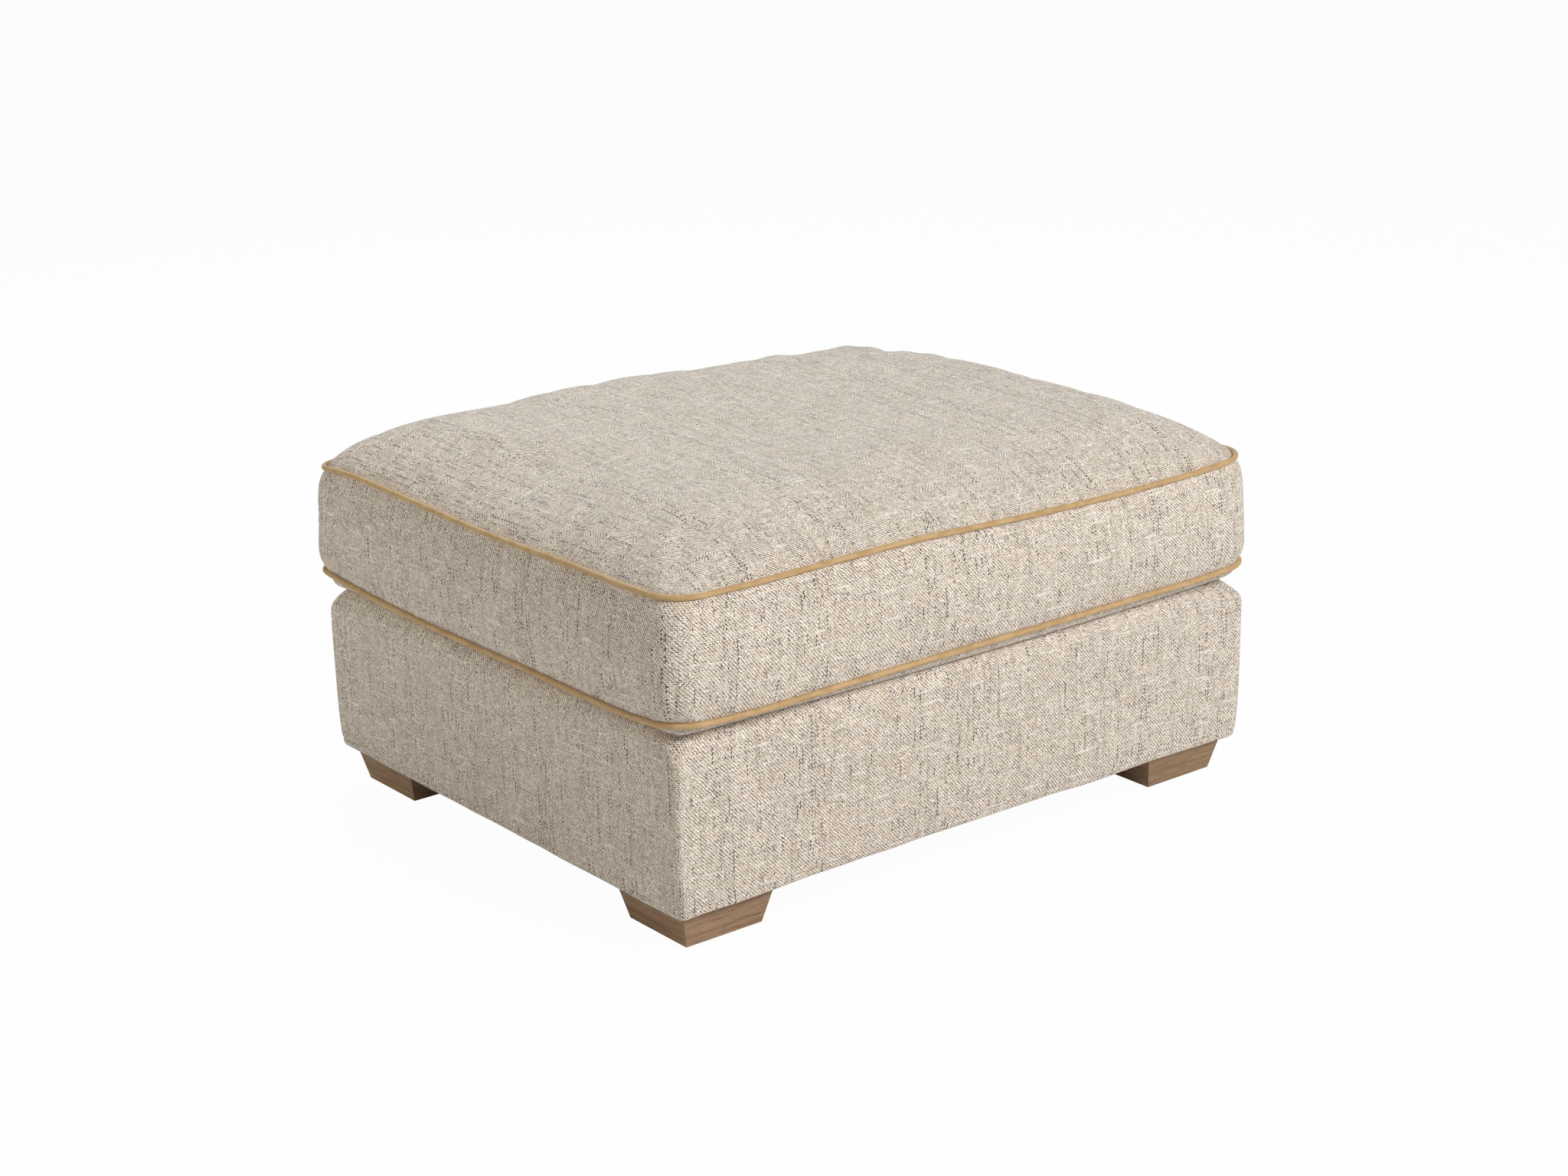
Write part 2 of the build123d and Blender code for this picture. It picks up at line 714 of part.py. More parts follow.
slider_x = zip_length / 2 - slider_end_gap - slider_length / 2
plate_inner = teeth_outer + slider_clearance
plate_outer = plate_inner + slider_wall
eye_radius = pull_bar_radius + pull_bar_gap + pull_eye_wall
bar_y = plate_outer + slider_clearance + eye_radius
ear_inner = pull_eye_width / 2 + pull_side_gap
ear_outer = ear_inner + pull_ear
flange_near = row_far + slider_clearance
with BuildPart() as zip_slider:
    block(
        (slider_x - slider_length / 2, plate_inner, zip_level - slider_width / 2),
        (slider_x + slider_length / 2, plate_outer, zip_level + slider_width / 2),
    )
    block(
        (slider_x - slider_length / 2, slider_inner, zip_level - slider_width / 2),
        (slider_x + slider_length / 2, slider_inner + slider_wall, zip_level + slider_width / 2),
    )
    block(
        (slider_x - slider_post_length / 2, slider_inner, zip_level - slider_post_thickness / 2),
        (slider_x + slider_post_length / 2, plate_outer, zip_level + slider_post_thickness / 2),
    )
    for hand in (-1, 1):
        near, far = sorted((hand * flange_near, hand * slider_width / 2))
        block(
            (slider_x - slider_length / 2, tape_outer + slider_clearance, zip_level + near),
            (slider_x + slider_length / 2, plate_outer, zip_level + far),
        )
        near, far = sorted((hand * ear_inner, hand * ear_outer))
        with BuildSketch(Plane((slider_x + near, 0, 0), x_dir=(0, 1, 0), z_dir=(1, 0, 0))):
            with BuildLine():
                Polyline(
                    (bar_y, zip_level + eye_radius),
                    (plate_outer, zip_level + eye_radius),
                    (plate_outer, zip_level - eye_radius),
                    (bar_y, zip_level - eye_radius),
                )
                ThreePointArc(
                    (bar_y, zip_level - eye_radius),
                    (bar_y + eye_radius, zip_level),
                    (bar_y, zip_level + eye_radius),
                )
            make_face()
        extrude(amount=far - near)
    with BuildSketch(Plane((slider_x - ear_outer, bar_y, zip_level), z_dir=(1, 0, 0))):
        Circle(pull_bar_radius)
    extrude(amount=2 * ear_outer)
finish(zip_slider.part, "zip_slider")

with BuildPart() as zip_pull:
    with BuildSketch(Plane((slider_x - pull_eye_width / 2, bar_y, zip_level), z_dir=(1, 0, 0))):
        Circle(eye_radius)
    extrude(amount=pull_eye_width)
    with BuildSketch(Plane((slider_x, bar_y - pull_thickness / 2, zip_level), x_dir=(1, 0, 0), z_dir=(0, 1, 0))):
        with Locations((0, pull_length / 2 + eye_radius)):
            RectangleRounded(pull_width, pull_length - eye_radius, pull_corner)
        with Locations((0, eye_radius)):
            Rectangle(pull_eye_width, 2 * eye_radius)
    extrude(amount=pull_thickness)
    with BuildSketch(Plane((slider_x - pull_eye_width / 2, bar_y, zip_level), z_dir=(1, 0, 0))):
        Circle(pull_bar_radius + pull_bar_gap)
    extrude(amount=pull_eye_width, mode=Mode.SUBTRACT)
finish(zip_pull.part, "zip_pull")

# Sizes that the record states

print("floor rest, glide centre:", foot_x, foot_y)
print("cushion bottom, top:", cushion_bottom, top_seam + crown_height)
print("zip level, slider x:", zip_level, slider_x, "travel:", zip_length - 2 * slider_end_gap - slider_length)
print("pull bar y:", bar_y, "overall:", seam_length + 2 * piping_radius, seam_depth + 2 * piping_radius)
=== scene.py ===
import json
import math
from typing import NamedTuple

import bpy
from mathutils import Matrix, Vector, noise


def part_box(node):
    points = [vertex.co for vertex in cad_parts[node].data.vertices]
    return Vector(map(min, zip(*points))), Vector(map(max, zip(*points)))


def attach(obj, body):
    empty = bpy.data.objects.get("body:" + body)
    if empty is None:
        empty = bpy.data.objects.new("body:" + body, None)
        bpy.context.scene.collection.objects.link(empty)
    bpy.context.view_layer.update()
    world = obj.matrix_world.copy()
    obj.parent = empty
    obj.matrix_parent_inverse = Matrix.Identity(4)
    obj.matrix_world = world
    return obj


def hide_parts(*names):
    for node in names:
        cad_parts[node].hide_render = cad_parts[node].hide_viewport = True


# The looks of an upholstered ottoman: a tight padded base on four oak feet, and a loose piped box
# cushion on it. Metres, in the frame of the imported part: +Z up, the long front side faces -Y.

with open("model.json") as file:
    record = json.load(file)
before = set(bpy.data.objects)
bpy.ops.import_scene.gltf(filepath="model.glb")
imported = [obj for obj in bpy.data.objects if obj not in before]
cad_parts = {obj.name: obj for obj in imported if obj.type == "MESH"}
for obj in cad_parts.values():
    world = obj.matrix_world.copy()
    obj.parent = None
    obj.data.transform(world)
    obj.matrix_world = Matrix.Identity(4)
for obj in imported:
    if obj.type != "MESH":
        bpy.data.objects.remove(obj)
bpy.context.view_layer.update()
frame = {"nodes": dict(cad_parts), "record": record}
scene = bpy.context.scene
mm = 0.001


def span(*names):
    """Lowest and highest corner of several nodes together."""
    boxes = [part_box(name) for name in names]
    low = Vector(min(box[0][i] for box in boxes) for i in range(3))
    high = Vector(max(box[1][i] for box in boxes) for i in range(3))
    return low, high


# Sizes taken from the frame

base_low, base_high = span("base_cover_front", "base_cover_back", "base_cover_left", "base_cover_right")
bottom_panel_low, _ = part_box("cushion_bottom_panel")
tape_low, tape_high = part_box("zip_tape")
teeth_low, teeth_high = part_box("zip_teeth")
dust_low, dust_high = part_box("dust_cover")
lining_low, lining_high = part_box("platform_cloth")
foot_low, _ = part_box("foot_front_left")
_, staple_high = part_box("dust_cover_staples")
bottom_piping_low, bottom_piping_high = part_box("piping_bottom")
top_piping_low, top_piping_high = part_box("piping_top")
piping_radius = (top_piping_high.z - top_piping_low.z) / 2
cord_radius = 0.93 * piping_radius
zip_level = (teeth_low.z + teeth_high.z) / 2
rest_level = bottom_panel_low.z

# Cushion: seams, crown, boxing and belly

seam_tuck = 3.4 * mm
# Corner radii in plan of the front left, front right, back right and back left corner
seam_corners = (44 * mm, 54 * mm, 50 * mm, 32 * mm)
boxing_corners = (15 * mm, 46 * mm, 40 * mm, 24 * mm)
crown_height = 62 * mm
crown_spread_x = 6.4
crown_spread_y = 5.7
crown_softness = 0.6
boxing_bulge = 10.0 * mm
boxing_squareness = 6.0
belly_run = 20 * mm
belly_reach = 24 * mm
belly_clearance = 0.8 * mm
corner_crease = 0.6 * mm
crease_width = 3.5 * mm
unevenness = 0.8 * mm
# Fine puckers beside the seams: height, and how far they run from the seam
boxing_pucker, boxing_pucker_run = 0.9 * mm, 14 * mm
crown_pucker, crown_pucker_run = 1.1 * mm, 20 * mm

# Air that blows the cushion's cloth out between its seams, and what is held at the zip
air_pressure = 4.0
air_frames = 20
air_share = 0.6
air_cap = 6 * mm
held_beside_zip = 16 * mm
held_past_slot = 10 * mm

# Rise of each seam and of the base's hem above a straight line, and how far the cushion's bottom
# droops beyond the base, in mm, at eight even steps along the front, right, back and left sides.
# A seam sewn by hand over soft filling is never straight.
upper_lifts = (
    2.5, 1.0, 2.0, 2.5, -2.0, -5.5, -7.0, -5.5, -1.0, -3.0, -3.5, -2.0, -1.0, 0.5, 1.5, 1.0,
    0.0, 0.0, 0.0, 0.0, 0.0, 0.0, 0.0, 0.0, -1.0, 4.5, 3.0, 0.5, -2.0, -1.5, 0.5, 0.5,
)
lower_lifts = (
    -2.5, -6.5, -5.5, -5.0, -4.5, -4.5, -4.0, -3.5, 0.5, -3.0, -4.5, -5.0, -5.0, -4.0, -3.0, -1.0,
    0.0, 0.0, 0.0, 0.0, 0.0, 0.0, 0.0, 0.0, 3.5, -3.0, -7.0, -8.5, -8.5, -8.0, -9.0, -8.5,
)
belly_droops = (
    5.0, 6.0, 8.5, 10.5, 11.5, 11.5, 10.5, 7.5, 5.0, 5.5, 6.0, 6.0, 6.0, 6.0, 6.0, 6.0,
    6.0, 6.0, 6.0, 6.0, 6.0, 6.0, 6.0, 7.0, 9.0, 5.0, 2.5, 2.5, 2.5, 2.5, 3.0, 4.0,
)
hem_lifts = (
    0.5, 2.0, 4.0, 4.0, 3.5, 2.5, 2.0, 1.5, 0.0, 0.5, 1.0, 0.5, 0.0, -0.5, 0.0, 0.5,
    0.0, 0.5, 1.0, 0.5, 0.0, 0.5, 0.5, 0.0, 0.0, 0.5, 0.0, 0.5, 1.0, 0.5, 0.0, 0.0,
)

# Swells and hollows of the filling under the top: place as shares of the half sizes, reach, height
top_swells = (
    (-0.93, 0.95, 0.15, 17.0 * mm),
    (-0.58, 0.78, 0.20, -1.0 * mm),
    (-0.42, 0.82, 0.20, 4.5 * mm),
    (-0.06, 0.82, 0.28, 6.0 * mm),
    (0.42, 0.84, 0.26, -1.5 * mm),
    (0.76, 0.74, 0.23, -13.0 * mm),
    (0.87, 0.02, 0.28, 5.0 * mm),
    (0.90, -0.50, 0.34, 7.0 * mm),
    (0.96, -0.93, 0.12, -3.0 * mm),
    (-0.20, -0.30, 0.42, -1.5 * mm),
    (0.35, 0.10, 0.40, 1.5 * mm),
)

# Base upholstery
base_corner = 7 * mm
shoulder_radius = 35 * mm
# Corner radii of the shoulder in plan, in the same order as the seams'
shoulder_corners = (40 * mm, 110 * mm, 45 * mm, 45 * mm)
base_flare = 4.5 * mm
flare_height = 28 * mm
side_fullness = 4 * mm
hem_height = 11 * mm
hem_crease = 1.4 * mm
hem_round = 4 * mm
hem_ripple = 1.2 * mm
lap_width = 74 * mm
lap_beyond_shoulder = 34 * mm
turned_under = 26 * mm
lining_bed = 1.2 * mm
wall_ripple = 1.3 * mm
corner_seam_depth = 0.9 * mm
wall_half_x, wall_half_y = base_high.x + side_fullness, base_high.y
base_top = base_high.z
shoulder_level = base_top - shoulder_radius

# Dust cover under the base
staple_inset = 2 * mm
dust_sag = 5 * mm
dust_pucker = 0.5 * mm
flat_beside_foot = 150 * mm

# Zip in the back of the boxing
slot_half = 6.5 * mm
tape_past_slot = 8 * mm
slot_hold_height = 22 * mm
slot_hold_reach = 20 * mm
cloth_over_tape = 2.3 * mm
tooth_pitch = 1.6 * mm
stitch_pitch = 3.4 * mm
stitch_radius = 0.35 * mm
stitch_steps = 60

# Where each panel is cut from the cloth, in metres along the roll, so that no two look alike
panel_cuts = {"top": 0.0, "bottom": 3.1, "front": 5.3, "right": 7.7, "back": 9.9, "left": 12.3}
side_names = ("front", "right", "back", "left")


class Seam(NamedTuple):
    """Middle line of a piped seam: half sizes, level, and how it wavers."""

    half_x: float
    half_y: float
    level: float
    lifts: tuple


def seam_of(low, high, lifts):
    return Seam(high.x - piping_radius, high.y - piping_radius, (low.z + high.z) / 2, lifts)


upper = seam_of(top_piping_low, top_piping_high, upper_lifts)
lower = seam_of(bottom_piping_low, bottom_piping_high, lower_lifts)


# Plan geometry shared by the cushion, its piping and the base

def graded(half, near_steps, pitch, extra=()):
    """Shares from -1 to 1 along a side: close together at both ends, even between them."""
    ends, place = [0.0], 0.0
    for step in near_steps:
        place += step
        ends.append(place)
    middle = half - place
    count = max(2, round(2 * middle / pitch))
    inner = [-middle + 2 * middle * i / count for i in range(1, count)]
    for line in extra:
        inner = [x for x in inner if abs(x - line) > 0.4 * pitch] + [line]
    lines = [-half + x for x in ends] + sorted(inner) + [half - x for x in reversed(ends)]
    return [x / half for x in lines]


def plan(a, b, half_x, half_y, corner):
    """Place in plan of the grid shares a and b, with the square grid's corners drawn into arcs."""
    x, y = a * half_x, b * half_y
    p = max(0.0, abs(x) - (half_x - corner)) / corner
    q = max(0.0, abs(y) - (half_y - corner)) / corner
    if p and q:
        x = math.copysign(half_x - corner + corner * p * math.sqrt(1 - q * q / 2), x)
        y = math.copysign(half_y - corner + corner * q * math.sqrt(1 - p * p / 2), y)
    return x, y


def outward(a, b, half_x, half_y, corner):
    """Direction away from the middle at a point of the outline, where a or b is 1 or -1."""
    x, y = plan(a, b, half_x, half_y, corner)
    away_x = math.copysign(max(0.0, abs(x) - (half_x - corner)), x)
    away_y = math.copysign(max(0.0, abs(y) - (half_y - corner)), y)
    return Vector((away_x, away_y, 0)).normalized()


def quarter(corners, a, b):
    """The value of the corner that a point is nearest to."""
    return corners[(0 if a < 0 else 1) if b < 0 else (3 if a < 0 else 2)]


def side_turn(a, b):
    """How far round the outline a point is, from 0 to 4: front, right, back and left side."""
    if b <= -1 and a < 1:
        return (a + 1) / 2
    if a >= 1 and b < 1:
        return 1 + (b + 1) / 2
    if b >= 1 and a > -1:
        return 2 + (1 - a) / 2
    return 3 + (1 - b) / 2


def side_name(a, b):
    return side_names[int(side_turn(a, b)) % 4]


def seam_lift(lifts, turn):
    """Smooth curve through the seam's lifts, closed round the cushion."""
    count = len(lifts)
    place = turn / 4 * count
    k, t = math.floor(place), place - math.floor(place)
    before, here, after, later = (lifts[(k + i) % count] for i in (-1, 0, 1, 2))
    slope_here, slope_after = (after - before) / 2, (later - here) / 2
    rest = here * (1 + 2 * t) * (1 - t) ** 2 + after * t * t * (3 - 2 * t)
    return mm * (rest + slope_here * t * (1 - t) ** 2 + slope_after * t * t * (t - 1))


def spread_lift(lifts, a, b):
    """The seam's lifts carried over the inside of the outline."""
    p, q = (a + 1) / 2, (b + 1) / 2
    front, back = seam_lift(lifts, p), seam_lift(lifts, 3 - p)
    right, left = seam_lift(lifts, 1 + q), seam_lift(lifts, 4 - q)
    corners = [seam_lift(lifts, i) for i in range(4)]
    near = (1 - p) * corners[0] + p * corners[1]
    far = (1 - p) * corners[3] + p * corners[2]
    flat = (1 - q) * near + q * far
    return (1 - q) * front + q * back + (1 - p) * left + p * right - flat


def ripple(x, y, z, size):
    """Smooth unevenness between about -1 and 1, the same on every run."""
    return noise.noise(Vector((x, y, z)) / size)


def perimeter(a_lines, b_lines):
    """Grid shares round the outline, starting at the front left corner."""
    front = [(a, -1.0) for a in a_lines[:-1]]
    right = [(1.0, b) for b in b_lines[:-1]]
    back = [(a, 1.0) for a in reversed(a_lines[1:])]
    left = [(-1.0, b) for b in reversed(b_lines[1:])]
    return front + right + back + left


# Meshes

def new_piece(name, verts, faces, uvs=None):
    """A mesh object with smooth faces and, where given, cloth coordinates in metres."""
    mesh = bpy.data.meshes.new(name)
    mesh.from_pydata(verts, [], faces)
    if uvs:
        layer = mesh.uv_layers.new(name="cloth")
        layer.data.foreach_set("uv", [c for face in uvs for point in face for c in point])
    mesh.polygons.foreach_set("use_smooth", [True] * len(mesh.polygons))
    mesh.update()
    piece = bpy.data.objects.new(name, mesh)
    scene.collection.objects.link(piece)
    return piece


def settle(piece):
    """Turns a piece with its modifiers into a plain mesh."""
    bpy.context.view_layer.update()
    done = bpy.data.meshes.new_from_object(piece.evaluated_get(bpy.context.evaluated_depsgraph_get()))
    piece.modifiers.clear()
    old, piece.data = piece.data, done
    bpy.data.meshes.remove(old)
    done.name = piece.name
    return piece


def subdivide(piece):
    """Rounds a piece between its points."""
    rounds = piece.modifiers.new("smooth", "SUBSURF")
    rounds.levels = rounds.render_levels = 1
    return settle(piece)


def cloth_lengths(lines, spots):
    """For each grid line, the length of cloth from the middle of the panel to it."""
    lengths = [0.0]
    for here, after in zip(spots, spots[1:]):
        lengths.append(lengths[-1] + (after - here).length)
    return {line: length - lengths[-1] / 2 for line, length in zip(lines, lengths)}


def cloth_rises(verts, levels):
    """Length of cloth from the lowest row up to each row, measured in the middle of the front."""
    column = round(0.13 * (levels[1] - levels[0]))
    spots = [Vector(verts[start + column]) for start in levels]
    rises = [0.0]
    for low, high in zip(reversed(spots), reversed(spots[:-1])):
        rises.insert(0, rises[0] + (high - low).length)
    return rises


def grid_faces(panel, place, a_lines, b_lines, outline, verts):
    """Faces and cloth coordinates of the top or bottom grid. Its inner points join the others."""
    index = dict(outline)
    for a in a_lines:
        for b in b_lines:
            if (a, b) not in index:
                index[a, b] = len(verts)
                verts.append(place(a, b))
    across = cloth_lengths(a_lines, [place(a, 0.0) for a in a_lines])
    deep = cloth_lengths(b_lines, [place(0.0, b) for b in b_lines])
    faces, uvs = [], []
    for a, a_next in zip(a_lines, a_lines[1:]):
        for b, b_next in zip(b_lines, b_lines[1:]):
            cell = [(a, b), (a_next, b), (a_next, b_next), (a, b_next)]
            if panel == "bottom":
                cell.reverse()
            faces.append([index[pair] for pair in cell])
            uvs.append([(across[p] + panel_cuts[panel], deep[q]) for p, q in cell])
    return faces, uvs


def wall_faces(ring, levels, rises, sizes):
    """Faces and cloth coordinates of the wall between its rows."""
    half_x, half_y = sizes
    faces, uvs = [], []
    for k, here in enumerate(ring):
        other = (k + 1) % len(ring)
        side = side_name(*here)
        length = 2 * (half_x if side in ("front", "back") else half_y)
        start = side_names.index(side)
        far = side_turn(*ring[other]) if other else 4.0
        near_u = (side_turn(*here) - start) * length + panel_cuts[side]
        far_u = (far - start) * length + panel_cuts[side]
        for above in range(len(levels) - 1):
            top_at, low_at = levels[above], levels[above + 1]
            high, low = rises[above], rises[above + 1]
            faces.append([top_at + k, low_at + k, low_at + other, top_at + other])
            uvs.append([(near_u, high), (near_u, low), (far_u, low), (far_u, high)])
    return faces, uvs


def skin(name, a_lines, b_lines, rows, wall, top, bottom, sizes):
    """A closed form: a grid on top, rows of wall round it and a grid below.

    wall(a, b, row) gives the wall's points, top(a, b) and bottom(a, b) the two grids' points inside
    their outlines, which are the first and last row. Cloth coordinates are lengths of cloth: along
    the side and up on the wall, across and front to back on the grids.
    """
    ring = perimeter(a_lines, b_lines)
    verts, levels, faces, uvs = [], [], [], []
    for row in rows:
        levels.append(len(verts))
        verts += [wall(a, b, row) for a, b in ring]
    for panel, place, start in (("top", top, levels[0]), ("bottom", bottom, levels[-1])):
        outline = {pair: start + k for k, pair in enumerate(ring)}
        grid, grid_uvs = grid_faces(panel, place, a_lines, b_lines, outline, verts)
        faces += grid
        uvs += grid_uvs
    bands, band_uvs = wall_faces(ring, levels, cloth_rises(verts, levels), sizes)
    return new_piece(name, verts, faces + bands, uvs + band_uvs), levels, ring


# Cushion form

near_seam = [x * mm for x in (1.5, 2.5, 3.5, 5, 6, 7, 8)]
cloth_pitch = 10 * mm
slot_line = tape_high.x - tape_past_slot
slot_lines = (-slot_line, -slot_line + mm, slot_line - mm, slot_line)
cushion_a = graded(upper.half_x, near_seam, cloth_pitch, slot_lines)
cushion_b = graded(upper.half_y, near_seam, cloth_pitch)


def seam_point(seam, a, b):
    """Middle of the piping at one place round the seam."""
    x, y = plan(a, b, seam.half_x, seam.half_y, quarter(seam_corners, a, b))
    return Vector((x, y, seam.level + seam_lift(seam.lifts, side_turn(a, b))))


def near_corner(a, b, half_x, half_y):
    """1 on an upright corner seam, falling to 0 beside it."""
    off = max((1 - abs(a)) * half_x, (1 - abs(b)) * half_y)
    return math.exp(-(off / crease_width) ** 2)


def boxing_point(a, b, share):
    """Point of the boxing, share 0 at the upper seam and 1 at the lower one."""
    full = 1 - abs(2 * share - 1) ** boxing_squareness
    at_seam, halfway = quarter(seam_corners, a, b), quarter(boxing_corners, a, b)
    corner = at_seam + (halfway - at_seam) * full ** 1.5
    half_x = upper.half_x + (lower.half_x - upper.half_x) * share - seam_tuck
    half_y = upper.half_y + (lower.half_y - upper.half_y) * share - seam_tuck
    x, y = plan(a, b, half_x, half_y, corner)
    away = outward(a, b, half_x, half_y, corner)
    high, low = seam_point(upper, a, b).z, seam_point(lower, a, b).z
    spot = Vector((x, y, high + (low - high) * share))
    uneven = ripple(spot.x, spot.y, spot.z, 90 * mm) + 0.5 * ripple(spot.x + 3, spot.y, spot.z, 38 * mm)
    bulge = boxing_bulge + unevenness * uneven
    if side_name(a, b) == "back":
        by_slot = abs(spot.x) < slot_line + slot_hold_reach
        held = math.exp(-((spot.z - zip_level) / slot_hold_height) ** 2) * by_slot
        bulge += held * (tape_high.y + cloth_over_tape - upper.half_y - bulge + seam_tuck)
        if abs(spot.z - zip_level) < slot_half - 0.1 * mm and abs(spot.x) < slot_line - 0.5 * mm:
            return Vector((spot.x, tape_low.y - 0.3 * mm, spot.z))
    crease = corner_crease * near_corner(a, b, upper.half_x, upper.half_y)
    edge = min(share, 1 - share) * (upper.level - lower.level)
    waves = ripple(side_turn(a, b) * 40, share * 2, 5, 1)
    pucker = boxing_pucker * math.exp(-edge / boxing_pucker_run) * waves
    return spot + away * (full * (bulge + pucker) - crease * full)


def crown_point(a, b):
    """Point of the crowned top panel inside its seam."""
    x, y = plan(a, b, upper.half_x - seam_tuck, upper.half_y - seam_tuck, quarter(seam_corners, a, b))
    rise_x = (1 - abs(a) ** crown_spread_x) ** crown_softness
    rise_y = (1 - abs(b) ** crown_spread_y) ** crown_softness
    rise = rise_x * rise_y
    z = upper.level + spread_lift(upper.lifts, a, b) + crown_height * rise
    for at_a, at_b, reach, height in top_swells:
        z += height * math.sqrt(rise) * math.exp(-((a - at_a) ** 2 + (b - at_b) ** 2) / reach ** 2)
    edge = min((1 - abs(a)) * upper.half_x, (1 - abs(b)) * upper.half_y)
    z += unevenness * rise * (ripple(x, y, 1, 150 * mm) + 0.4 * ripple(x, y, 7, 60 * mm))
    near_edge = math.exp(-edge / crown_pucker_run) * min(1.0, edge / (6 * mm))
    z += crown_pucker * near_edge * ripple(x, y, 3, 17 * mm)
    return Vector((x, y, z))


def shoulder_height(x, y):
    """Level of the base's rounded shoulder under a point, or nothing outside the wall."""
    inset = min(wall_half_x - abs(x), wall_half_y - abs(y))
    if inset < 0:
        return 0.0
    rest = max(0.0, shoulder_radius - inset)
    return shoulder_level + math.sqrt(shoulder_radius ** 2 - rest ** 2)


def belly_point(a, b):
    """Point of the bottom panel: it droops beyond the base and rests flat on the platform."""
    x, y = plan(a, b, lower.half_x - seam_tuck, lower.half_y - seam_tuck, quarter(seam_corners, a, b))
    edge = min((1 - abs(a)) * lower.half_x, (1 - abs(b)) * lower.half_y)
    settled = 1 - (1 - min(1.0, edge / belly_run)) ** 2.2
    seam_level = lower.level + spread_lift(lower.lifts, a, b)
    droop = spread_lift(belly_droops, a, b) * math.sin(math.pi * min(1.0, edge / belly_reach)) ** 2
    z = seam_level + (rest_level - seam_level) * settled - droop
    return Vector((x, y, max(z, shoulder_height(x, y) + belly_clearance)))


def boxing_rows():
    """Shares of the boxing's height: close together at the seams and at the zip."""
    height = upper.level - lower.level
    near = [0.0, 1.5, 4, 7.5, 12, 18, 25, 34, 44, 54]
    slot_edge = height / 2 - slot_half
    slot = [x / mm for x in (slot_edge - 0.8 * mm, slot_edge, slot_edge + mm)]
    half = near + slot + [height / 2 / mm]
    return [x * mm / height for x in half] + [1 - x * mm / height for x in reversed(half[:-1])]


def puff(piece, held):
    """Cloth simulation: air blows the cloth out between its held points.

    Each point keeps a share of its way, and moves no further than the cap.
    """
    start = [v.co.copy() for v in piece.data.vertices]
    group = piece.vertex_groups.new(name="held")
    group.add(held, 1.0, "REPLACE")
    cloth = piece.modifiers.new("puff", "CLOTH")
    settings = cloth.settings
    settings.quality = 6
    settings.mass = 0.4
    settings.vertex_group_mass = "held"
    settings.tension_stiffness = settings.compression_stiffness = 18
    settings.shear_stiffness = 8
    settings.bending_stiffness = 1.2
    settings.use_pressure = True
    settings.uniform_pressure_force = air_pressure
    settings.effector_weights.gravity = 0
    settings.shrink_min = -0.012
    cloth.collision_settings.use_collision = False
    cloth.point_cache.frame_start, cloth.point_cache.frame_end = 1, air_frames
    for step in range(1, air_frames + 1):
        scene.frame_set(step)
    blown = piece.evaluated_get(bpy.context.evaluated_depsgraph_get()).to_mesh()
    moved = [v.co.copy() for v in blown.vertices]
    piece.modifiers.clear()
    piece.vertex_groups.clear()
    scene.frame_set(1)
    for vertex, old, new in zip(piece.data.vertices, start, moved):
        way = (new - old) * air_share
        if way.length > air_cap:
            way.length = air_cap
        vertex.co = old + way
    piece.data.update()


def make_cushion():
    """The filled cushion cover: crowned top, four boxing panels and bottom, one closed form."""
    rows = boxing_rows()
    sizes = (upper.half_x, upper.half_y)
    piece, levels, ring = skin(
        "cushion", cushion_a, cushion_b, rows, boxing_point, crown_point, belly_point, sizes
    )
    held = []
    for k, (a, b) in enumerate(ring):
        held += [levels[0] + k, levels[-1] + k]
        corner = near_corner(a, b, upper.half_x, upper.half_y) > 0.5
        for start in levels:
            spot = piece.data.vertices[start + k].co
            by_zip = side_name(a, b) == "back" and abs(spot.z - zip_level) < held_beside_zip
            if corner or by_zip and abs(spot.x) < slot_line + held_past_slot:
                held.append(start + k)
    held += [v.index for v in piece.data.vertices if v.co.z < rest_level + 0.5 * mm]
    puff(piece, held)
    return subdivide(piece)


# Piping

def make_piping(name, seam):
    """A round covered cord along one seam."""
    ring = perimeter(cushion_a, cushion_b)
    around = 14
    girth = 2 * math.pi * cord_radius / around
    verts, faces, uvs = [], [], []
    places = [0.0]
    spots = [seam_point(seam, a, b) for a, b in ring]
    for here, after in zip(spots, spots[1:] + spots[:1]):
        places.append(places[-1] + (after - here).length)
    for (a, b), spot, place in zip(ring, spots, places):
        away = outward(a, b, seam.half_x, seam.half_y, quarter(seam_corners, a, b))
        radius = cord_radius * (1 + 0.035 * ripple(place, 2, seam.level, 24 * mm))
        for k in range(around):
            angle = 2 * math.pi * k / around
            verts.append(spot + radius * (math.cos(angle) * away + math.sin(angle) * Vector((0, 0, 1))))
    for k in range(len(ring)):
        after = (k + 1) % len(ring)
        near, far = places[k], places[k + 1]
        for j in range(around):
            up = (j + 1) % around
            low, high = j * girth, (j + 1) * girth
            faces.append([k * around + j, after * around + j, after * around + up, k * around + up])
            uvs.append([(near, low), (far, low), (far, high), (near, high)])
    return subdivide(new_piece(name, verts, faces, uvs))


# Base upholstery

near_corner_seam = [x * mm for x in (1.5, 2, 3, 4, 6, 8)]
cover_pitch = 12 * mm
base_a = graded(wall_half_x, near_corner_seam, cover_pitch)
base_b = graded(wall_half_y, near_corner_seam, cover_pitch)


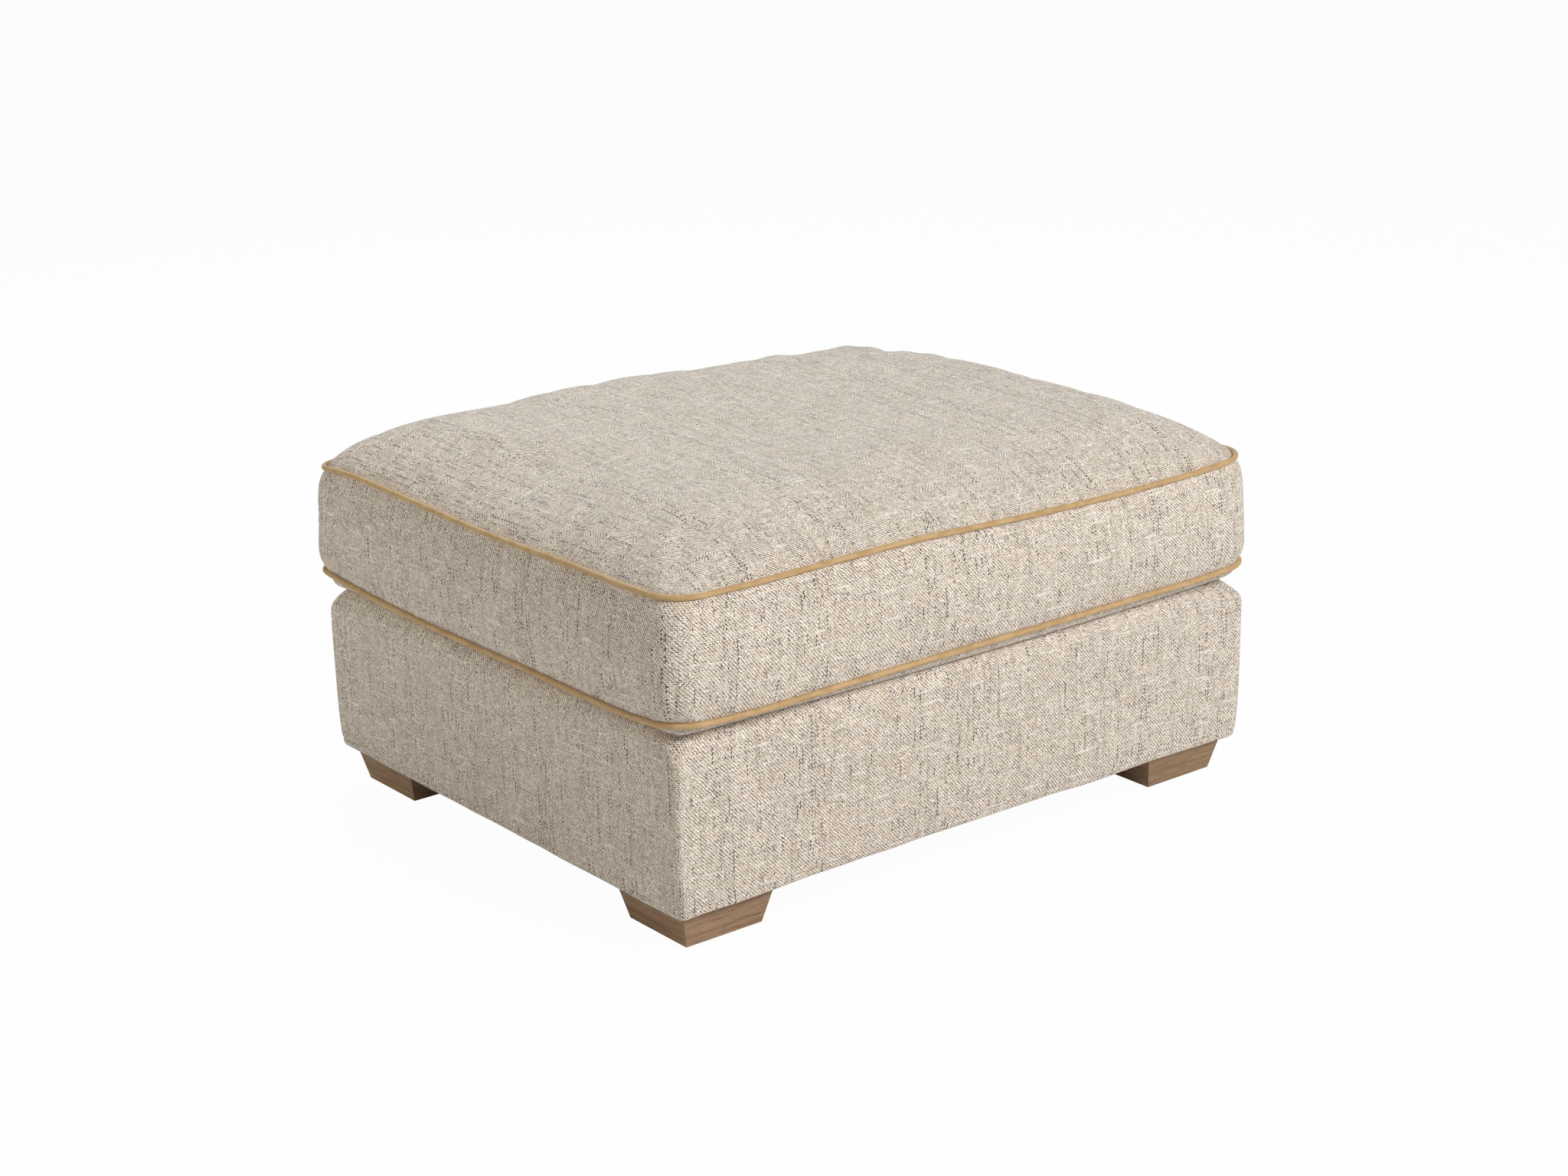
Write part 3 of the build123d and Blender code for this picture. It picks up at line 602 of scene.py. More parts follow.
def base_rows():
    """Inset from the wall's straight line and level of each row, from the platform down and under."""
    rows = [(shoulder_radius + lap, base_top) for lap in (lap_beyond_shoulder, 18 * mm, 6 * mm)]
    for angle in range(90, -1, -10):
        turn = math.radians(angle)
        inset = shoulder_radius * (1 - math.cos(turn))
        rows.append((inset, base_top - shoulder_radius * (1 - math.sin(turn))))
    crease_level = base_low.z + hem_height
    top_of_hem = crease_level + 9 * mm
    count = 14
    levels = [shoulder_level + (top_of_hem - shoulder_level) * k / count for k in range(1, count)]
    levels += [crease_level + lift * mm for lift in (9, 5, 2.5, 1.2, 0, -1.2, -3)]
    for level in levels:
        crease = hem_crease * math.exp(-((level - crease_level) / (1.1 * mm)) ** 2)
        rows.append((base_flare * math.exp(-(level - base_low.z) / flare_height) + crease, level))
    for angle in (0, 30, 60, 90):
        turn = math.radians(angle)
        inset = base_flare + hem_round * (1 - math.cos(turn))
        rows.append((inset, base_low.z + hem_round * (1 - math.sin(turn))))
    rows.append((base_flare + 14 * mm, base_low.z + 0.1 * mm))
    rows.append((base_flare + turned_under, base_low.z + 0.5 * mm))
    return rows


def base_point(a, b, row):
    """Point of the base's cover. It is drawn in towards its hem."""
    inset, level = row
    half_x, half_y = wall_half_x - inset, wall_half_y - inset
    on_shoulder = max(0.0, min(1.0, (level - shoulder_level) / shoulder_radius))
    corner = base_corner + (quarter(shoulder_corners, a, b) - base_corner) * on_shoulder
    x, y = plan(a, b, half_x, half_y, corner)
    away = outward(a, b, half_x, half_y, corner)
    along = x * abs(away.y) + y * abs(away.x)
    tight = 1 - on_shoulder
    seam = near_corner(a, b, half_x, half_y)
    side = side_turn(a, b) // 1
    uneven = ripple(along, side, level, 95 * mm) + 0.5 * ripple(along, 4, level, 42 * mm)
    low_down = math.exp(-((level - base_low.z) / (16 * mm)) ** 2)
    waver = seam_lift(hem_lifts, side_turn(a, b)) + hem_ripple * ripple(along, side, 9, 70 * mm)
    hem_wave = low_down * waver
    out = wall_ripple * uneven * (1 - seam) - corner_seam_depth * seam
    return Vector((x, y, level + hem_wave)) + away * out * tight


def platform_point(a, b):
    """The cover's flat lap and the shallow bed of the lining inside it."""
    inset = shoulder_radius + lap_beyond_shoulder
    x, y = plan(a, b, wall_half_x - inset, wall_half_y - inset, quarter(shoulder_corners, a, b))
    inside = min(base_high.x - abs(x), base_high.y - abs(y)) - lap_width
    return Vector((x, y, base_top - lining_bed * max(0.0, min(1.0, inside / (3 * mm)))))


def underside_point(a, b):
    """Inner face of the turned-under cover, hidden above the dust cover."""
    inset = base_flare + turned_under
    x, y = plan(a, b, wall_half_x - inset, wall_half_y - inset, base_corner)
    return Vector((x, y, dust_high.z + 0.6 * mm))


def make_base():
    """The base's cover: wall, lap and turned-under hem, closed above and below."""
    sizes = (wall_half_x, wall_half_y)
    rows = base_rows()
    piece, _, _ = skin(
        "base_upholstery", base_a, base_b, rows, base_point, platform_point, underside_point, sizes
    )
    return subdivide(piece)


# Flat cloths: the lining on the platform and the dust cover under the base

def make_cloth(name, low, high, pitch, height, thickness):
    """A flat cloth over a rectangle, its level given by height(x, y), with a fold's thickness."""
    across = max(2, round((high.x - low.x) / pitch))
    deep = max(2, round((high.y - low.y) / pitch))
    verts, faces, uvs = [], [], []
    for i in range(across + 1):
        for j in range(deep + 1):
            x = low.x + (high.x - low.x) * i / across
            y = low.y + (high.y - low.y) * j / deep
            verts.append((x, y, height(x, y)))
    for i in range(across):
        for j in range(deep):
            k = i * (deep + 1) + j
            cell = [k, k + deep + 1, k + deep + 2, k + 1]
            faces.append(cell)
            uvs.append([(verts[c][0], verts[c][1]) for c in cell])
    piece = new_piece(name, verts, faces, uvs)
    wall = piece.modifiers.new("thickness", "SOLIDIFY")
    wall.thickness, wall.offset = thickness, 1.0
    return settle(piece)


def lining_height(x, y):
    return base_top - 1.0 * mm + 0.35 * mm * ripple(x, y, 2, 120 * mm)


def dust_height(x, y):
    """The dust cover sags between its stapled edges and clears the feet."""
    level = dust_low.z + 0.1 * mm
    by_foot_x = abs(x) > abs(foot_low.x) - flat_beside_foot
    by_foot_y = abs(y) > abs(foot_low.y) - flat_beside_foot
    if by_foot_x and by_foot_y:
        return level
    p = max(0.0, 1 - abs(x) / (staple_high.x - staple_inset))
    q = max(0.0, 1 - abs(y) / (staple_high.y - staple_inset))
    sag = dust_sag * min(1.0, 2.4 * p) * min(1.0, 2.4 * q)
    edge = min(staple_high.x - abs(x), staple_high.y - abs(y))
    pulled = math.exp(-max(0.0, edge) / (30 * mm)) * min(1.0, 8 * p * q + 0.1)
    pucker = dust_pucker * pulled * ripple(x, y, 5, 30 * mm)
    return level - sag + min(0.0, pucker)


# Repeats along a path, by Geometry Nodes

def path_tree():
    """Sets an item at even steps along a path. Inputs: pitch, item and finish."""
    tree = bpy.data.node_groups.new("items along a path", "GeometryNodeTree")
    for name, kind, way in (
        ("Path", "NodeSocketGeometry", "INPUT"),
        ("Pitch", "NodeSocketFloat", "INPUT"),
        ("Item", "NodeSocketObject", "INPUT"),
        ("Finish", "NodeSocketMaterial", "INPUT"),
        ("Items", "NodeSocketGeometry", "OUTPUT"),
    ):
        tree.interface.new_socket(name, in_out=way, socket_type=kind)
    given = tree.nodes.new("NodeGroupInput")
    result = tree.nodes.new("NodeGroupOutput")
    curve = tree.nodes.new("GeometryNodeMeshToCurve")
    points = tree.nodes.new("GeometryNodeCurveToPoints")
    points.mode = "LENGTH"
    item = tree.nodes.new("GeometryNodeObjectInfo")
    place = tree.nodes.new("GeometryNodeInstanceOnPoints")
    turn = tree.nodes.new("FunctionNodeAlignRotationToVector")
    turn.axis = "X"
    real = tree.nodes.new("GeometryNodeRealizeInstances")
    finish = tree.nodes.new("GeometryNodeSetMaterial")
    for start, end in (
        (given.outputs["Path"], curve.inputs["Mesh"]),
        (curve.outputs["Curve"], points.inputs["Curve"]),
        (given.outputs["Pitch"], points.inputs["Length"]),
        (given.outputs["Item"], item.inputs["Object"]),
        (points.outputs["Points"], place.inputs["Points"]),
        (points.outputs["Tangent"], turn.inputs["Vector"]),
        (turn.outputs["Rotation"], place.inputs["Rotation"]),
        (item.outputs["Geometry"], place.inputs["Instance"]),
        (place.outputs["Instances"], real.inputs["Geometry"]),
        (real.outputs["Geometry"], finish.inputs["Geometry"]),
        (given.outputs["Finish"], finish.inputs["Material"]),
        (finish.outputs["Geometry"], result.inputs["Items"]),
    ):
        tree.links.new(start, end)
    return tree


def along_path(name, tree, paths, pitch, item, finish):
    """A plain mesh of an item repeated along open paths, each a list of points."""
    verts, edges = [], []
    for path in paths:
        edges += [(len(verts) + k, len(verts) + k + 1) for k in range(len(path) - 1)]
        verts += path
    mesh = bpy.data.meshes.new(name)
    mesh.from_pydata(verts, edges, [])
    piece = bpy.data.objects.new(name, mesh)
    scene.collection.objects.link(piece)
    repeat = piece.modifiers.new("repeat", "NODES")
    repeat.node_group = tree
    socket = {s.name: s.identifier for s in tree.interface.items_tree if s.in_out == "INPUT"}
    repeat[socket["Pitch"]] = pitch
    repeat[socket["Item"]] = item
    repeat[socket["Finish"]] = finish
    return settle(piece)


def rounded_bar(name, length, width, height):
    """A short bar along X with rounded ends, for a stitch or a zip tooth."""
    verts, faces = [], []
    around = 6
    stations = ((-0.5, 0.35), (-0.38, 0.85), (0.0, 1.0), (0.38, 0.85), (0.5, 0.35))
    for share, full in stations:
        for k in range(around):
            angle = 2 * math.pi * k / around
            y, z = full * width / 2 * math.cos(angle), full * height / 2 * math.sin(angle)
            verts.append((share * length, y, z))
    for s in range(len(stations) - 1):
        here, further = s * around, (s + 1) * around
        for k in range(around):
            after = (k + 1) % around
            faces.append([here + k, here + after, further + after, further + k])
    faces.append(list(reversed(range(around))))
    faces.append([(len(stations) - 1) * around + k for k in range(around)])
    item = new_piece(name, verts, faces)
    scene.collection.objects.unlink(item)
    return item


# Materials

class Field:
    """A shader value that is written in sums and products like a number."""

    def __init__(self, finish, socket):
        self.finish, self.socket = finish, socket

    def maths(self, operation, *values):
        return self.finish.node("ShaderNodeMath", {"operation": operation}, dict(enumerate(values)))

    def __add__(self, other):
        return self.maths("ADD", self, other)

    def __sub__(self, other):
        return self.maths("SUBTRACT", self, other)

    def __rsub__(self, other):
        return self.maths("SUBTRACT", other, self)

    def __mul__(self, other):
        return self.maths("MULTIPLY", self, other)

    def __truediv__(self, other):
        return self.maths("DIVIDE", self, other)

    def __pow__(self, other):
        return self.maths("POWER", self, other)

    def __gt__(self, other):
        return self.maths("GREATER_THAN", self, other)

    def __abs__(self):
        return self.maths("ABSOLUTE", self)

    __radd__, __rmul__ = __add__, __mul__

    def floor(self):
        return self.maths("FLOOR", self)

    def fract(self):
        return self.maths("FRACT", self)

    def sine(self):
        return self.maths("SINE", self)


class Finish:
    """A material being put together round its Principled shader."""

    def __init__(self, name, **constants):
        self.material = bpy.data.materials.new(name)
        self.material.use_nodes = True
        self.tree = self.material.node_tree
        self.shader = self.tree.nodes["Principled BSDF"]
        for socket, value in constants.items():
            self.shader.inputs[socket.replace("_", " ")].default_value = value

    def node(self, kind, settings=None, inputs=None, output=0):
        """Adds a node: its settings first, then the values or links of its inputs."""
        made = self.tree.nodes.new(kind)
        for key, value in (settings or {}).items():
            setattr(made, key, value)
        for key, value in (inputs or {}).items():
            if isinstance(value, Field):
                self.tree.links.new(value.socket, made.inputs[key])
            else:
                made.inputs[key].default_value = value
        return Field(self, made.outputs[output])

    def split(self, vector):
        first = self.node("ShaderNodeSeparateXYZ", inputs={0: vector})
        outputs = first.socket.node.outputs
        return tuple(Field(self, outputs[k]) for k in range(3))

    def join(self, x, y, z=0.0):
        return self.node("ShaderNodeCombineXYZ", inputs={0: x, 1: y, 2: z})

    def cloth(self):
        """Cloth coordinates in metres, across and along the warp."""
        u, v, _ = self.split(self.node("ShaderNodeUVMap", {"uv_map": "cloth"}))
        return u, v

    def place(self):
        return self.node("ShaderNodeTexCoord", output="Object")

    def speckle(self, x, y, z=0.0):
        """A random value of its own for each whole number of x and y."""
        where = self.join(x, y, z)
        return self.node("ShaderNodeTexWhiteNoise", {"noise_dimensions": "3D"}, {"Vector": where})

    def clouds(self, where, size, detail=2.0, roughness=0.5):
        """Smooth noise from 0 to 1 with features of about one size."""
        inputs = {"Vector": where, "Scale": 1 / size, "Detail": detail, "Roughness": roughness}
        return self.node("ShaderNodeTexNoise", None, inputs)

    def step(self, value, low, high):
        """0 below low, 1 above high and smooth between them."""
        inputs = {"Value": value, "From Min": low, "From Max": high}
        return self.node("ShaderNodeMapRange", {"interpolation_type": "SMOOTHSTEP"}, inputs)

    def blend(self, share, first, second):
        """Colour between two colours."""
        def colour(value):
            return value if isinstance(value, Field) else (*value, 1)
        inputs = {0: share, 6: colour(first), 7: colour(second)}
        return self.node("ShaderNodeMix", {"data_type": "RGBA"}, inputs, output=2)

    def tint(self, colour, amount):
        """A colour made lighter or darker by a value."""
        inputs = {0: colour, "Scale": amount}
        return self.node("ShaderNodeVectorMath", {"operation": "SCALE"}, inputs)

    def set(self, **links):
        for socket, field in links.items():
            self.tree.links.new(field.socket, self.shader.inputs[socket.replace("_", " ")])
        return self

    def bump(self, height, distance, strength):
        inputs = {"Height": height, "Distance": distance, "Strength": strength}
        return self.set(Normal=self.node("ShaderNodeBump", None, inputs))


def cover_cloth():
    """Tweedy upholstery cloth: cream and sand yarns in broken twill, dark warps and pale slubs."""
    finish = Finish(
        "cover_cloth", Roughness=0.92, Specular_IOR_Level=0.2, Sheen_Weight=0.18, Sheen_Roughness=0.5
    )
    # Broken twill of loose strokes, each yarn swaying a little
    u, v = finish.cloth()
    rib, course = 4.6 * mm, 5.0 * mm
    sway = (finish.clouds(finish.join(u, v, 3.0), 9 * mm, 2.0) - 0.5) * (2.6 * mm)
    sway_up = (finish.clouds(finish.join(u, v, 8.0), 9 * mm, 2.0) - 0.5) * (2.6 * mm)
    across, along = u + sway, v + sway_up
    patch = finish.clouds(finish.join(u * 0.7, v, 1.3), 16 * mm, 1.0)
    lean = (patch > 0.36) * 2 - 1
    twill = across / rib + along / course * lean
    dash = abs(twill.fract() - 0.5)
    half_course = along / (course / 2)
    end = abs(half_course.fract() - 0.5)
    picked = finish.speckle(twill.floor(), half_course.floor())
    stroke = finish.step(dash + end * 0.7, 0.48, 0.24) * (0.68 + picked * 0.5)

    # Fibres and yarns that show through all of it
    fine = finish.speckle((u / (1.55 * mm)).floor(), (v / (1.45 * mm)).floor(), 5.0)
    fuzz = finish.clouds(finish.join(u, v, 2.0), 1.3 * mm, 2.0, 0.7)
    warp = finish.clouds(finish.join(u + sway * 0.4, v * 0.06, 6.0), 4.4 * mm, 1.0)
    weft = finish.clouds(finish.join(u * 0.08, v + sway_up * 0.4, 9.0), 4.2 * mm, 1.0)
    heather = finish.clouds(finish.join(u * 0.22, v, 4.0), 7 * mm, 2.0, 0.6)
    ochre = finish.clouds(finish.join(u, v * 0.25, 14.0), 9 * mm, 2.0, 0.6)

    # Ground colours and strokes
    cream, sand, rose = (0.79, 0.715, 0.625), (0.72, 0.62, 0.48), (0.66, 0.605, 0.59)
    ground = finish.blend(finish.step(ochre, 0.42, 0.68) * 0.35, cream, sand)
    ground = finish.blend(finish.step(heather, 0.46, 0.70) * 0.4, ground, rose)
    # Pale fibre flecks lightened toward near-white: partly the fibres' own colour, partly a painted
    # highlight
    pale_fleck_and_painted_glint = finish.step(fine, 0.70, 0.93)
    ground = finish.blend(pale_fleck_and_painted_glint * 0.8, ground, (0.97, 0.95, 0.92))
    ground = finish.blend(finish.step(fine, 0.30, 0.04) * 0.55, ground, (0.42, 0.34, 0.26))
    tan, brown = (0.42, 0.295, 0.18), (0.20, 0.138, 0.095)
    shade = finish.blend(finish.step(picked * 0.8 + heather * 0.4, 0.35, 1.05), tan, brown)
    colour = finish.blend(stroke, ground, shade)

    # Dark yarns that surface here and there in a column of the weave
    column = (u + sway * 0.5) / rib
    chosen = finish.speckle(column.floor(), 3.0)
    run = finish.clouds(finish.join(column.floor() * 7.3, v / (26 * mm), 6.0), 1.0, 1.0)
    dark_yarn = finish.step(run + chosen * 0.26, 0.755, 0.785)
    thin = finish.step(abs(column.fract() - 0.5), 0.22, 0.13)
    knot = finish.step(abs((along / course + chosen).fract() - 0.5), 0.34, 0.24)
    shown = finish.speckle(column.floor(), (along / course + chosen).floor(), 2.0) > 0.2
    is_brown = finish.speckle(column.floor(), 11.0) > 0.84
    ink = finish.blend(is_brown, (0.05, 0.05, 0.062), (0.22, 0.12, 0.07))
    colour = finish.blend(dark_yarn * thin * knot * shown, colour, ink)

    # Pale slubs, and the light and shade between the yarns, painted into the colour: painted shade in the
    # grooves and on the sunken dark yarns, painted light on the fuzz and glints, over random tone
    dark_warp, dark_weft = finish.step(warp, 0.60, 0.72), finish.step(weft, 0.62, 0.74)
    slub = finish.step(weft, 0.36, 0.26)
    colour = finish.blend(slub * 0.6, colour, (0.90, 0.85, 0.785))
    broad = finish.clouds(finish.join(u, v, 5.0), 90 * mm, 1.0)
    tone = finish.speckle(column.floor(), (v / (55 * mm) + chosen * 3).floor(), 7.0)
    # Darker towards the edges of each rib column: painted shade in the grooves between the ribs
    painted_groove_shade = finish.step(abs(column.fract() - 0.5), 0.34, 0.5)
    # Lighter with random tone and with painted light on the raised fuzz and glints; darker with painted
    # groove shade and with the dark warps and wefts, partly their own colour and partly painted shade
    # where they sink in the bump
    painted_light_and_tone = broad * 0.06 + fuzz * 0.28 + pale_fleck_and_painted_glint * 0.14 + tone * 0.12
    painted_shade_and_dark_yarns = painted_groove_shade * 0.13 + dark_warp * 0.18 + dark_weft * 0.16
    value = painted_light_and_tone - painted_shade_and_dark_yarns + 0.845
    finish.set(Base_Color=finish.tint(colour, value))
    finish.bump(fuzz * 0.35 - stroke + slub * 0.5 - dark_warp * 0.6, 0.8 * mm, 0.62)
    return finish.material


def piping_cloth():
    """Smooth tan piping with the faint slanting threads of a bias cut."""
    finish = Finish("piping_tan", Roughness=0.55, Specular_IOR_Level=0.35, Sheen_Weight=0.08)
    u, v = finish.cloth()
    slant = (u + v * 0.9) / (0.7 * mm)
    threads = (slant * (2 * math.pi)).sine() * 0.5 + 0.5
    wear = finish.clouds(finish.join(u, v, 1.0), 16 * mm, 3.0)
    tan, ochre = (0.61, 0.405, 0.20), (0.50, 0.315, 0.14)
    colour = finish.blend(finish.step(wear, 0.35, 0.7), tan, ochre)
    # Lighter along each slanting thread and darker between the threads: painted shade
    finish.set(Base_Color=finish.tint(colour, 0.95 + threads * 0.06), Roughness=0.5 + wear * 0.15)
    finish.bump(threads * 0.4 + wear, 0.15 * mm, 0.4)
    return finish.material


def oak():
    """Weathered oak with level grain, which follows the face that it is seen on."""
    finish = Finish("foot_oak", Specular_IOR_Level=0.35)
    x, y, z = finish.split(finish.place())
    facing_x, facing_y, _ = finish.split(finish.node("ShaderNodeNewGeometry", output="Normal"))
    sideways = abs(facing_x) > abs(facing_y)
    along = x + (y - x) * sideways
    into = y + (x - y) * sideways
    rings = finish.clouds(finish.join(along * 0.055, into * 0.35, z), 7 * mm, 4.0, 0.62)
    fibres = finish.clouds(finish.join(along * 0.03, into, z), 0.9 * mm, 2.0, 0.6)
    pores = finish.step(finish.clouds(finish.join(along * 0.06, into, z), 1.4 * mm, 1.0), 0.62, 0.72)
    light, mid, dark = (0.42, 0.272, 0.165), (0.29, 0.178, 0.10), (0.15, 0.088, 0.048)
    colour = finish.blend(finish.step(rings, 0.36, 0.66), light, mid)
    colour = finish.blend(finish.step(fibres, 0.42, 0.75) * 0.5, colour, dark)
    colour = finish.blend(pores * 0.6, colour, (0.10, 0.06, 0.035))
    finish.set(Base_Color=colour, Roughness=0.52 + fibres * 0.25)
    finish.bump(rings * 0.6 + fibres * 0.5 - pores * 0.8, 0.4 * mm, 0.5)
    return finish.material


def softwood(name, light, dark, ring=9 * mm):
    """Sawn softwood or board: long streaks and saw marks."""
    finish = Finish(name, Specular_IOR_Level=0.3)
    x, y, z = finish.split(finish.place())
    streak = finish.clouds(finish.join(x * 0.2, y * 0.2, z * 1.4), ring, 4.0, 0.6)
    saw = finish.clouds(finish.join(x, y, z * 0.1), 2 * mm, 1.0)
    colour = finish.blend(finish.step(streak, 0.35, 0.68), light, dark)
    finish.set(Base_Color=finish.tint(colour, 0.92 + saw * 0.14), Roughness=0.6 + saw * 0.25)
    finish.bump(streak * 0.5 + saw, 0.3 * mm, 0.4)
    return finish.material


def plain_weave(name, light, dark, pitch, on_cloth=True):
    """Over-and-under weave in two tones, for lining, webbing and tape: the dark tone is painted shade at
    the sides of each yarn, the light tone lies along its middle, and each yarn has a random tone of its
    own.
    """
    finish = Finish(name, Roughness=0.9, Specular_IOR_Level=0.2)
    if on_cloth:
        u, v = finish.cloth()
    else:
        x, y, z = finish.split(finish.place())
        u, v = x + z * 0.5, y + z * 0.5
    i, j = u / pitch, v / pitch
    checker = abs((i.floor() + j.floor()) * 0.5).fract() * 2
    under = 1 - checker
    over = (1 - abs(i.fract() - 0.5) * 2) * checker + (1 - abs(j.fract() - 0.5) * 2) * under
    yarn = finish.speckle(i.floor(), 1.0) * checker + finish.speckle(j.floor(), 2.0) * under
    # Each yarn darker at its sides, where it dips under its neighbours, and lighter along its crown:
    # painted shade, with a random tone per yarn
    finish.set(Base_Color=finish.blend(finish.step(over * 0.8 + yarn * 0.4, 0.2, 0.9), dark, light))
    finish.bump(over, 0.35 * pitch, 0.6)
    return finish.material


def fleece(name, light, dark, size):
    """Matted fibres: foam, wadding and non-woven cloth."""
    finish = Finish(name, Roughness=0.95, Specular_IOR_Level=0.15)
    where = finish.place()
    fibres = finish.clouds(where, size, 4.0, 0.7)
    broad = finish.clouds(where, 14 * size, 2.0)
    matted = finish.step(fibres * 0.7 + broad * 0.4, 0.35, 0.75)
    finish.set(Base_Color=finish.blend(matted, dark, light))
    finish.bump(fibres, size, 0.5)
    return finish.material


def dust_cloth():
    """Black non-woven cloth with its grid of pressed dots."""
    finish = Finish("dust_cloth", Roughness=0.82, Specular_IOR_Level=0.25)
    u, v = finish.cloth()
    pitch = 1.6 * mm
    row = (v / pitch).floor()
    across = (u / pitch + row * 0.5).fract() - 0.5
    up = (v / pitch).fract() - 0.5
    dot = 1 - finish.step((across ** 2.0 + up ** 2.0) ** 0.5, 0.18, 0.34)
    fibres = finish.clouds(finish.join(u, v), 2.5 * mm, 4.0, 0.7)
    colour = finish.blend(fibres, (0.018, 0.018, 0.019), (0.05, 0.05, 0.052))
    finish.set(Base_Color=finish.tint(colour, 1 - dot * 0.35), Roughness=0.86 - dot * 0.25)
    finish.bump(fibres * 0.6 - dot, 0.3 * mm, 0.5)
    return finish.material


def metal(name, colour, rough):
    """Plated metal with fine wear and a little tarnish."""
    finish = Finish(name, Metallic=1.0)
    where = finish.place()
    wear = finish.clouds(where, 0.6 * mm, 3.0, 0.6)
    tarnish = finish.step(finish.clouds(where, 9 * mm, 3.0), 0.45, 0.8)
    dull = tuple(c * 0.6 for c in colour)
    finish.set(Base_Color=finish.blend(tarnish * 0.5, colour, dull), Roughness=rough + wear * 0.2)
    finish.bump(wear, 0.05 * mm, 0.3)
    return finish.material


def plastic(name, colour, rough, size=1.2 * mm):
    """Moulded plastic with a light grain."""
    finish = Finish(name, Specular_IOR_Level=0.45)
    where = finish.place()
    grain = finish.clouds(where, size, 3.0, 0.6)
    shade = tuple(c * 0.7 for c in colour)
    mottled = finish.blend(finish.step(grain, 0.4, 0.8), colour, shade)
    finish.set(Base_Color=mottled, Roughness=rough + grain * 0.15)
    finish.bump(grain, 0.08 * mm, 0.4)
    return finish.material


def sewing_thread():
    """Twisted thread of the seams."""
    finish = Finish("thread", Roughness=0.7, Specular_IOR_Level=0.3)
    x, _, z = finish.split(finish.place())
    ply = ((x + z) / (0.5 * mm) * (2 * math.pi)).sine() * 0.5 + 0.5
    # Dark and light bands along the twist: painted shade in the grooves between the plies, painted light
    # on their crowns
    finish.set(Base_Color=finish.blend(ply, (0.42, 0.35, 0.26), (0.60, 0.52, 0.41)))
    finish.bump(ply, 0.1 * mm, 0.4)
    return finish.material


def dress(piece, material):
    piece.data.materials.clear()
    piece.data.materials.append(material)
    return piece


finishes = {
    "cover_fabric": cover_cloth(),
    "piping_cover": piping_cloth(),
    "foot_oak": oak(),
    "frame_timber": softwood("frame_timber", (0.66, 0.50, 0.31), (0.50, 0.34, 0.19)),
    "board": softwood("board", (0.40, 0.27, 0.16), (0.30, 0.19, 0.11), 3 * mm),
    "ply_block": softwood("ply_block", (0.62, 0.47, 0.30), (0.44, 0.31, 0.18), 4 * mm),
    "webbing": plain_weave("webbing", (0.13, 0.11, 0.09), (0.03, 0.027, 0.025), 1.8 * mm, on_cloth=False),
    "wadding": fleece("wadding", (0.86, 0.86, 0.84), (0.72, 0.72, 0.70), 2 * mm),
    "pad_foam": fleece("pad_foam", (0.80, 0.74, 0.48), (0.66, 0.58, 0.34), 0.9 * mm),
    "lining": plain_weave("lining", (0.66, 0.60, 0.49), (0.46, 0.40, 0.31), 0.9 * mm),
    "dust_cloth": dust_cloth(),
    "staple_steel": metal("staple_steel", (0.62, 0.62, 0.62), 0.35),
    "bolt_steel": metal("bolt_steel", (0.58, 0.58, 0.57), 0.3),
    "glide_plastic": plastic("glide_plastic", (0.06, 0.045, 0.035), 0.4),
    "cord_filler": fleece("cord_filler", (0.80, 0.77, 0.70), (0.62, 0.58, 0.50), 0.7 * mm),
    "zip_cloth": plain_weave("zip_cloth", (0.40, 0.33, 0.25), (0.25, 0.20, 0.145), 0.8 * mm),
    "zip_nylon": plastic("zip_nylon", (0.38, 0.31, 0.22), 0.35, 0.5 * mm),
    "zip_metal": metal("zip_metal", (0.50, 0.47, 0.42), 0.25),
}
for part in frame["record"]["subparts"]:
    dress(frame["nodes"][part["node"]], finishes[part["material_slot"]])


# The cushion and its piping

cushion = dress(make_cushion(), finishes["cover_fabric"])
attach(cushion, "cushion")
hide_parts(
    "cushion_top_panel", "cushion_bottom_panel", "boxing_front", "boxing_left", "boxing_right",
    "boxing_back_upper", "boxing_back_lower", "fibre_wrap", "foam_core",
)

for name, seam in (("top", upper), ("bottom", lower)):
    cord = dress(make_piping(f"piped_seam_{name}", seam), finishes["piping_cover"])
    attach(cord, "cushion")
    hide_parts(f"piping_{name}", f"piping_{name}_cord")


# The base: padded cover, platform lining and dust cover

base = dress(make_base(), finishes["cover_fabric"])
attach(base, "root")
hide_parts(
    "base_cover_front", "base_cover_back", "base_cover_left", "base_cover_right",
    "side_padding_front", "side_padding_back", "side_padding_left", "side_padding_right", "platform_pad",
)

lining = make_cloth(
    "lining_cloth", lining_low, lining_high, pitch=20 * mm, height=lining_height, thickness=0.6 * mm
)
dress(lining, finishes["lining"])
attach(lining, "root")
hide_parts("platform_cloth")

under_cloth = make_cloth(
    "under_cloth", dust_low, dust_high, pitch=14 * mm, height=dust_height, thickness=0.7 * mm
)
dress(under_cloth, finishes["dust_cloth"])
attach(under_cloth, "root")
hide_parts("dust_cover")


# The zip: tapes, teeth and the two rows of stitches beside it

repeat_tree = path_tree()


